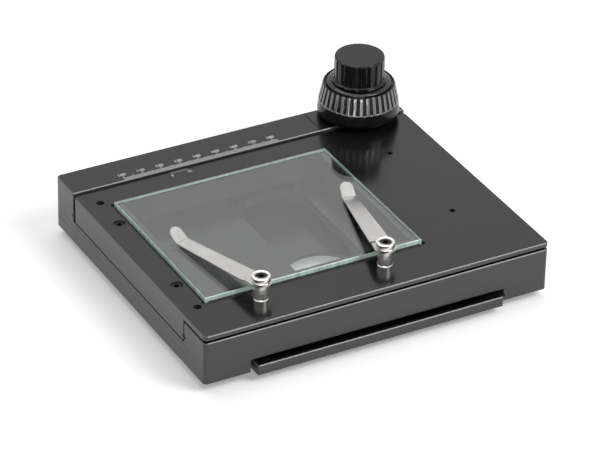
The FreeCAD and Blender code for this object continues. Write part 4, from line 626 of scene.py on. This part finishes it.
def numeral(text, x, y, z, height):
    """Make a numeral as a flat mesh, centred on a place and read from the front"""
    bpy.ops.object.text_add(location=(0, 0, 0))
    letter = bpy.context.active_object
    letter.data.body = text
    letter.data.size = height * FONT_SIZE
    letter.data.align_x = "CENTER"
    letter.data.align_y = "CENTER"
    letter.data.resolution_u = 3
    letter.data.extrude = MARK_THICKNESS / 2
    bpy.ops.object.convert(target="MESH")
    letter = bpy.context.active_object
    letter.scale = (MM, MM, MM)
    letter.location = (x * MM, y * MM, z * MM)
    bpy.ops.object.transform_apply(location=True, rotation=True, scale=True)
    return letter


class STAGE_OT_scale(bpy.types.Operator):
    """Engrave the millimetre scale on the rear bar's front edge"""
    bl_idname = "stage.scale"
    bl_label = "Millimetre scale"

    def execute(self, context):
        marks = context.scene.stage_marks
        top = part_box("y_frame")[1].z / MM + MARK_LIFT
        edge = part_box("x_plate")[1].y / MM + BAR_EDGE
        places = {SCALE_TEN: [], SCALE_FIVE: [], SCALE_ONE: []}
        for step in range(marks.scale_length + 1 + SPARE_LINES):
            length = SCALE_TEN if step % 10 == 0 else SCALE_FIVE if step % 5 == 0 else SCALE_ONE
            places[length].append((marks.scale_zero + step, edge))
        parts = []
        for length, spots in places.items():
            parts += repeat_mark(line_mark(marks.line_width, length), spots, top)
        for step in range(0, marks.scale_length + 1, 10):
            parts.append(numeral(str(marks.first_number + step), marks.scale_zero + step,
                                 edge + SCALE_NUMERALS, top, marks.digit_height))
        piece = join(parts, "scale_marks")
        wear(piece, paint("scale_paint", context.scene.stage_finish.engraving))
        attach(piece, "y_carriage")
        return {"FINISHED"}


class STAGE_OT_vernier(bpy.types.Operator):
    """Engrave the vernier on the small plate of the top slide"""
    bl_idname = "stage.vernier"
    bl_label = "Vernier"

    def execute(self, context):
        marks = context.scene.stage_marks
        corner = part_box("vernier_plate")[1] / MM
        top = corner.z + MARK_LIFT
        edge = corner.y - VERNIER_EDGE
        places = {VERNIER_FIVE: [], VERNIER_ONE: []}
        for step in range(VERNIER_LINES):
            length = VERNIER_FIVE if step % 5 == 0 else VERNIER_ONE
            places[length].append((marks.vernier_zero + step * VERNIER_STEP, edge - length))
        parts = []
        for length, spots in places.items():
            line = line_mark(marks.line_width * VERNIER_WIDTH, length)
            parts += repeat_mark(line, spots, top)
        for step in (0, VERNIER_LINES - 1):
            parts.append(numeral(str(step), marks.vernier_zero + step * VERNIER_STEP,
                                 edge - VERNIER_NUMERALS, top,
                                 marks.digit_height * VERNIER_HEIGHT))
        piece = join(parts, "vernier_marks")
        colour = shade(context.scene.stage_finish.engraving, VERNIER_TONE)
        wear(piece, paint("vernier_paint", colour))
        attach(piece, "x_carriage")
        return {"FINISHED"}


# Operators: studio


class STAGE_OT_studio(bpy.types.Operator):
    """Set up the pale floor, the soft lights, the surroundings and the camera"""
    bl_idname = "stage.studio"
    bl_label = "Studio"

    def execute(self, context):
        studio = context.scene.stage_studio
        make_world(studio.sky)
        make_floor(studio.floor_glow)
        powers = {"overhead": studio.overhead_power, "key": studio.key_power,
                  "side": studio.side_power, "low": studio.low_power}
        for name, power in powers.items():
            make_light(name, *LAMPS[name], power)
        make_camera()
        context.scene.view_settings.view_transform = "Standard"
        return {"FINISHED"}


def shown_rays(tree):
    """One for the rays that show the background itself, in a mirror or a glass too"""
    path = tree.nodes.new("ShaderNodeLightPath")
    direct = compute(tree, "MAXIMUM", path.outputs["Is Camera Ray"],
                     path.outputs["Is Glossy Ray"])
    return compute(tree, "MAXIMUM", direct, path.outputs["Is Transmission Ray"])


def make_floor(glow):
    """Pale floor that keeps the stage's shadow and shows a little white of its own"""
    deselect()
    bpy.ops.mesh.primitive_plane_add(size=FLOOR_SIZE, location=(0, 0, 0))
    floor = settle(bpy.context.active_object, "studio_floor")
    material, tree, shader = new_material("pale_floor")
    shader.inputs["Base Color"].default_value = (0.9, 0.9, 0.9, 1)
    shader.inputs["Roughness"].default_value = 0.6
    shader.inputs["Emission Color"].default_value = (1, 1, 1, 1)
    tree.links.new(compute(tree, "MULTIPLY", shown_rays(tree), glow),
                   shader.inputs["Emission Strength"])
    wear(floor, material)


def make_world(sky):
    """Surroundings that look white, also in a mirror, and light the stage with grey"""
    world = bpy.data.worlds.new("surroundings")
    bpy.context.scene.world = world
    world.use_nodes = True
    tree = world.node_tree
    tree.nodes.clear()
    output = tree.nodes.new("ShaderNodeOutputWorld")
    lit = tree.nodes.new("ShaderNodeBackground")
    lit.inputs["Color"].default_value = (1, 1, 1, 1)
    lit.inputs["Strength"].default_value = sky
    seen = tree.nodes.new("ShaderNodeBackground")
    seen.inputs["Color"].default_value = (1, 1, 1, 1)
    seen.inputs["Strength"].default_value = 1.0
    mix = tree.nodes.new("ShaderNodeMixShader")
    tree.links.new(shown_rays(tree), mix.inputs["Fac"])
    tree.links.new(lit.outputs["Background"], mix.inputs[1])
    tree.links.new(seen.outputs["Background"], mix.inputs[2])
    tree.links.new(mix.outputs["Shader"], output.inputs["Surface"])


def make_light(name, place, target, size, power):
    """One soft rectangular light that faces a point"""
    data = bpy.data.lights.new(name, "AREA")
    data.shape = "RECTANGLE"
    data.size, data.size_y = size
    data.energy = power
    lamp = bpy.data.objects.new(name, data)
    bpy.context.scene.collection.objects.link(lamp)
    away = Vector(place) - Vector(target)
    lamp.rotation_euler = away.to_track_quat("Z", "Y").to_euler()
    lamp.location = place


def make_camera():
    """Camera at the photograph's place"""
    data = bpy.data.cameras.new("camera")
    camera = bpy.data.objects.new("camera", data)
    bpy.context.scene.collection.objects.link(camera)
    turn = Matrix((CAMERA_RIGHT, [-v for v in CAMERA_DOWN], [-v for v in CAMERA_FORWARD]))
    camera.matrix_world = Matrix.Translation(
        Vector(CAMERA_PLACE) * MM) @ turn.transposed().to_4x4()
    data.sensor_width = SENSOR_WIDTH
    data.lens = CAMERA_LENS
    data.clip_start, data.clip_end = CAMERA_CLIP
    data.dof.use_dof = False
    bpy.context.scene.camera = camera


class STAGE_PT_panel(bpy.types.Panel):
    """Shows the settings and the steps that dress the stage"""
    bl_idname = "STAGE_PT_panel"
    bl_label = "Stage"
    bl_space_type = "VIEW_3D"
    bl_region_type = "UI"
    bl_category = "Stage"

    def draw(self, context):
        for group in ("stage_finish", "stage_marks", "stage_studio"):
            values = getattr(context.scene, group)
            box = self.layout.box()
            for name in values.__annotations__:
                box.prop(values, name)
        for step in STEPS:
            self.layout.operator(step.bl_idname)


GROUPS = (StageFinish, StageMarks, StageStudio)
STEPS = (STAGE_OT_plates, STAGE_OT_glass, STAGE_OT_steel, STAGE_OT_clips, STAGE_OT_knobs,
         STAGE_OT_scale, STAGE_OT_vernier, STAGE_OT_studio)


def register():
    """Register the classes and hang the settings on the scene"""
    for item in GROUPS + STEPS + (STAGE_PT_panel,):
        bpy.utils.register_class(item)
    bpy.types.Scene.stage_finish = PointerProperty(type=StageFinish)
    bpy.types.Scene.stage_marks = PointerProperty(type=StageMarks)
    bpy.types.Scene.stage_studio = PointerProperty(type=StageStudio)


def unregister():
    """Take the settings and the classes away again"""
    del bpy.types.Scene.stage_studio
    del bpy.types.Scene.stage_marks
    del bpy.types.Scene.stage_finish
    for item in reversed(GROUPS + STEPS + (STAGE_PT_panel,)):
        bpy.utils.unregister_class(item)


def main():
    """Dress the stage step by step"""
    register()
    bpy.ops.stage.plates()
    bpy.ops.stage.glass()
    bpy.ops.stage.steel()
    bpy.ops.stage.clips()
    bpy.ops.stage.knobs()
    bpy.ops.stage.scale()
    bpy.ops.stage.vernier()
    bpy.ops.stage.studio()


if __name__ == "__main__":
    main()
